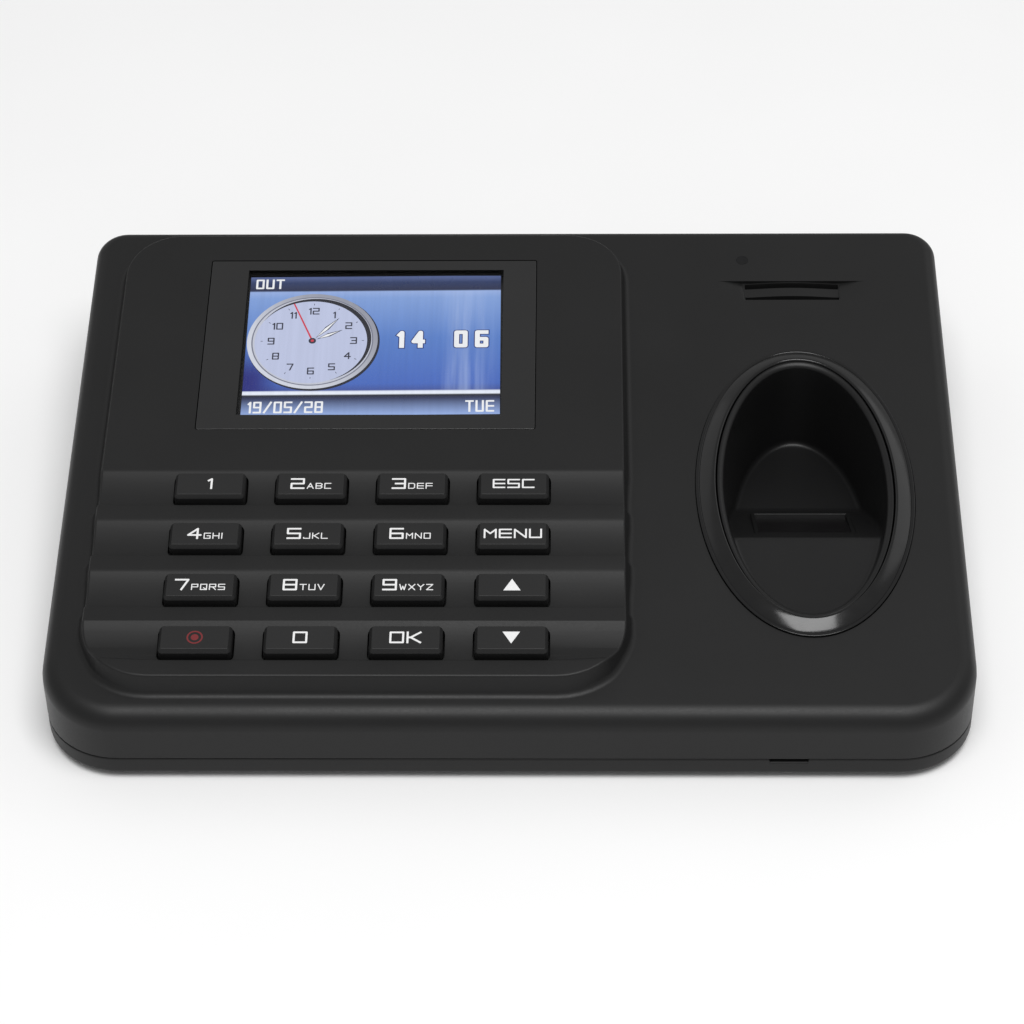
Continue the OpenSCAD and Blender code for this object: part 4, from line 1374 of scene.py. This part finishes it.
NUMBER, COUNT = "NodeSocketFloat", "NodeSocketInt"
grid_tree = pattern_tree(
    "repeat on a grid",
    [("Width", NUMBER), ("Depth", NUMBER), ("Columns", COUNT), ("Rows", COUNT)],
    "GeometryNodeMeshGrid",
    [("Width", "Size X"), ("Depth", "Size Y"), ("Columns", "Vertices X"), ("Rows", "Vertices Y")],
)
round_tree = pattern_tree(
    "repeat round a circle",
    [("Radius", NUMBER), ("Count", COUNT)],
    "GeometryNodeMeshCircle", [("Radius", "Radius"), ("Count", "Vertices")], turned=True,
)


def repeated(skin, name, finish, tree, values, place=None, crisp=38):
    """A piece made of copies of a skin in the tree's pattern."""
    piece = mesh_piece(skin, name, [finish], crisp)
    modifier = piece.modifiers.new("pattern", "NODES")
    modifier.node_group = tree
    for item in tree.interface.items_tree:
        if item.in_out == "INPUT" and item.name in values:
            modifier[item.identifier] = values[item.name]
        if item.name == "Finish":
            modifier[item.identifier] = finish
    settle(piece, place)
    print(name, "repeated:", len(piece.data.polygons), "faces")
    return piece


# %% Feet and case screws
foot = Skin()
foot_profile = [(4.35, 0.0), (4.75, 0.07), (4.95, 0.28), (5.0, 0.6), (5.0, 1.6)]
rings = [placed(oval(r, r, 48), level, z) for r, z in foot_profile]
foot.bands(rings)
foot.cap(rings[-1])
dimple = [placed(oval(r, r, 48), level, z) for r, z in ((4.35, 0.0), (2.6, 0.0), (2.4, 0.12))]
foot.bands(dimple)
foot.cap(dimple[-1])
feet_grid = {"Width": 2 * FOOT_X * MM, "Depth": 2 * FOOT_Y * MM, "Columns": 2, "Rows": 2}
feet = repeated(foot, "feet", foot_black, grid_tree, feet_grid)
belongs(feet, "foot_rubber", "foot_front_left", "foot_front_right", "foot_back_left", "foot_back_right")

screw = Skin()
arm, tip_at = 0.36, 1.5
cross = [(tip_at, -arm), (tip_at, arm), (arm, arm), (arm, tip_at), (-arm, tip_at), (-arm, arm),
         (-tip_at, arm), (-tip_at, -arm), (-arm, -arm), (-arm, -tip_at), (arm, -tip_at), (arm, -arm)]
head_rim = oval(2.2, 2.2, 40)
flat, faces, _ = triangles([head_rim, cross])
screw.add([(p.x, p.y, 1.6) for p in flat], faces)
sunk = [(x * 0.8, y * 0.8) for x, y in cross]
screw.bands([placed(cross, level, 1.6), placed(sunk, level, 2.7)])
screw.cap(placed(sunk, level, 2.7))
shaft = [(2.2, 1.6), (2.55, 1.75), (2.7, 2.05), (2.7, 3.18), (1.68, 3.2)]
for i in range(11):
    shaft += [(1.68, 3.6 + 0.7 * i), (1.38, 3.85 + 0.7 * i)]
shaft += [(1.1, 11.5), (0.7, 11.8)]
rings = [placed(oval(r, r, 40), level, z) for r, z in shaft]
screw.bands(rings)
screw.cap(rings[-1])
screw_grid = {"Width": 2 * SCREW_X * MM, "Depth": 2 * SCREW_Y * MM, "Columns": 2, "Rows": 2}
screws = repeated(screw, "case_screw_set", screw_steel, grid_tree, screw_grid)
belongs(screws, "plated_steel", "case_screws")

# %% Marks round the clock
mark = Skin()
plate(mark, [[(-0.055, -0.22), (0.055, -0.22), (0.055, 0.22), (-0.055, 0.22)]], level, 0.0, 0.02)
dial = (PICTURE @ Matrix.Translation((*CLOCK, 0)))
dial.translation *= MM
marks = repeated(mark, "clock_marks", lights[INK], round_tree, {"Radius": 9.75 * MM, "Count": 12}, dial)
belongs(marks, "display_glass", "display_panel")

# %% [markdown]
# ## Parts that keep their working shape
# Inside the case the working model's own shapes are right: boards, sockets, chips, the speaker and
# the reader's optics. They only get their finishes.

# %% Finishes for the inner parts
finishes = {
    tape_black: ["lens_tape"],
    steel: ["display_frame", "board_capacitors", "coin_cell", "usb_socket"],
    flex_amber: ["display_flex"],
    green_board: ["main_board", "reader_board", "status_board"],
    chip_black: ["board_chips"],
    socket_black: ["cell_holder", "power_socket", "reader_housing", "reader_lens"],
    silicone: ["keypad_mat"],
    reader_glass: ["reader_window"],
    prism_glass: ["reader_prism"],
    cable_grey: ["reader_cable"],
    lead_red: ["speaker_cable"],
    cone_black: ["speaker"],
    light_smoke: ["status_lens"],
    screw_steel: ["board_screws", "well_screws", "reader_screws"],
}
for finish, names in finishes.items():
    for name in names:
        for material_slot in frame["nodes"][name].material_slots:
            material_slot.material = finish
print("inner parts finished:", sum(len(names) for names in finishes.values()))

# %% [markdown]
# ## Camera, light and floor
# The camera looks down on the terminal from the front. Above it hangs one broad soft light, which
# the glossy ring shows as a bright patch at its front. Two weaker panels behind, left and right,
# draw the long sheens on the ring's far half and lighten the back of the case. The floor and the
# surroundings are white.

# %% Camera
def aim(location, yaw, pitch, roll):
    """Camera matrix from angles in degrees. Yaw turns right, pitch looks down."""
    yaw, pitch, roll = (math.radians(a) for a in (yaw, pitch, roll))
    forward = Vector((math.sin(yaw) * math.cos(pitch), math.cos(yaw) * math.cos(pitch), -math.sin(pitch)))
    right = Vector((math.cos(yaw), -math.sin(yaw), 0))
    up = right.cross(forward)
    right, up = right * math.cos(roll) + up * math.sin(roll), up * math.cos(roll) - right * math.sin(roll)
    matrix = Matrix((right, up, -forward)).transposed().to_4x4()
    matrix.translation = Vector(location) * MM
    return matrix


camera_data = bpy.data.cameras.new("camera")
camera_data.lens = 110.2
camera_data.sensor_width = 36
camera_data.clip_start = 0.01
camera = bpy.data.objects.new("camera", camera_data)
camera.matrix_world = aim((11.19, -436.9, 411.5), -1.476, 42.64, -1.012)
bpy.context.scene.collection.objects.link(camera)
bpy.context.scene.camera = camera


# %% Lights and floor
def soft_light(name, at, size, radiance):
    """Square light panel that faces the terminal, with its brightness as seen in a mirror."""
    data = bpy.data.lights.new(name, "AREA")
    data.shape = "RECTANGLE"
    data.size, data.size_y = size
    data.energy = radiance * math.pi * size[0] * size[1]
    lamp = bpy.data.objects.new(name, data)
    lamp.matrix_world = Matrix.Translation(at) @ (-Vector(at)).to_track_quat("-Z", "Y").to_matrix().to_4x4()
    bpy.context.scene.collection.objects.link(lamp)


soft_light("overhead", (0.08, -0.30, 1.06), (0.75, 0.60), 6.7)
soft_light("back left", (-0.85, 0.95, 0.85), (0.9, 0.6), 0.22)
soft_light("back right", (0.95, 0.85, 0.90), (1.0, 0.7), 0.6)

world = bpy.data.worlds.new("studio")
world.use_nodes = True
sky = world.node_tree.nodes["Background"]
sky.inputs["Color"].default_value = (1, 1, 1, 1)
sky.inputs["Strength"].default_value = 0.38
bpy.context.scene.world = world

paper = Finish("white paper")
paper.bump(paper.noise(3, 2), 0.02)
paper_white = paper.set({
    "Base Color": paper.mix(paper.noise(60, 2), (0.90, 0.90, 0.90), (0.93, 0.93, 0.93)),
    "Roughness": 0.9,
})
floor_mesh = bpy.data.meshes.new("floor")
floor_mesh.from_pydata([(-3, -3, 0), (3, -3, 0), (3, 3, 0), (-3, 3, 0)], [], [(0, 1, 2, 3)])
floor_mesh.materials.append(paper_white)
floor = bpy.data.objects.new("floor", floor_mesh)
bpy.context.scene.collection.objects.link(floor)
bpy.context.scene.view_settings.view_transform = "Standard"
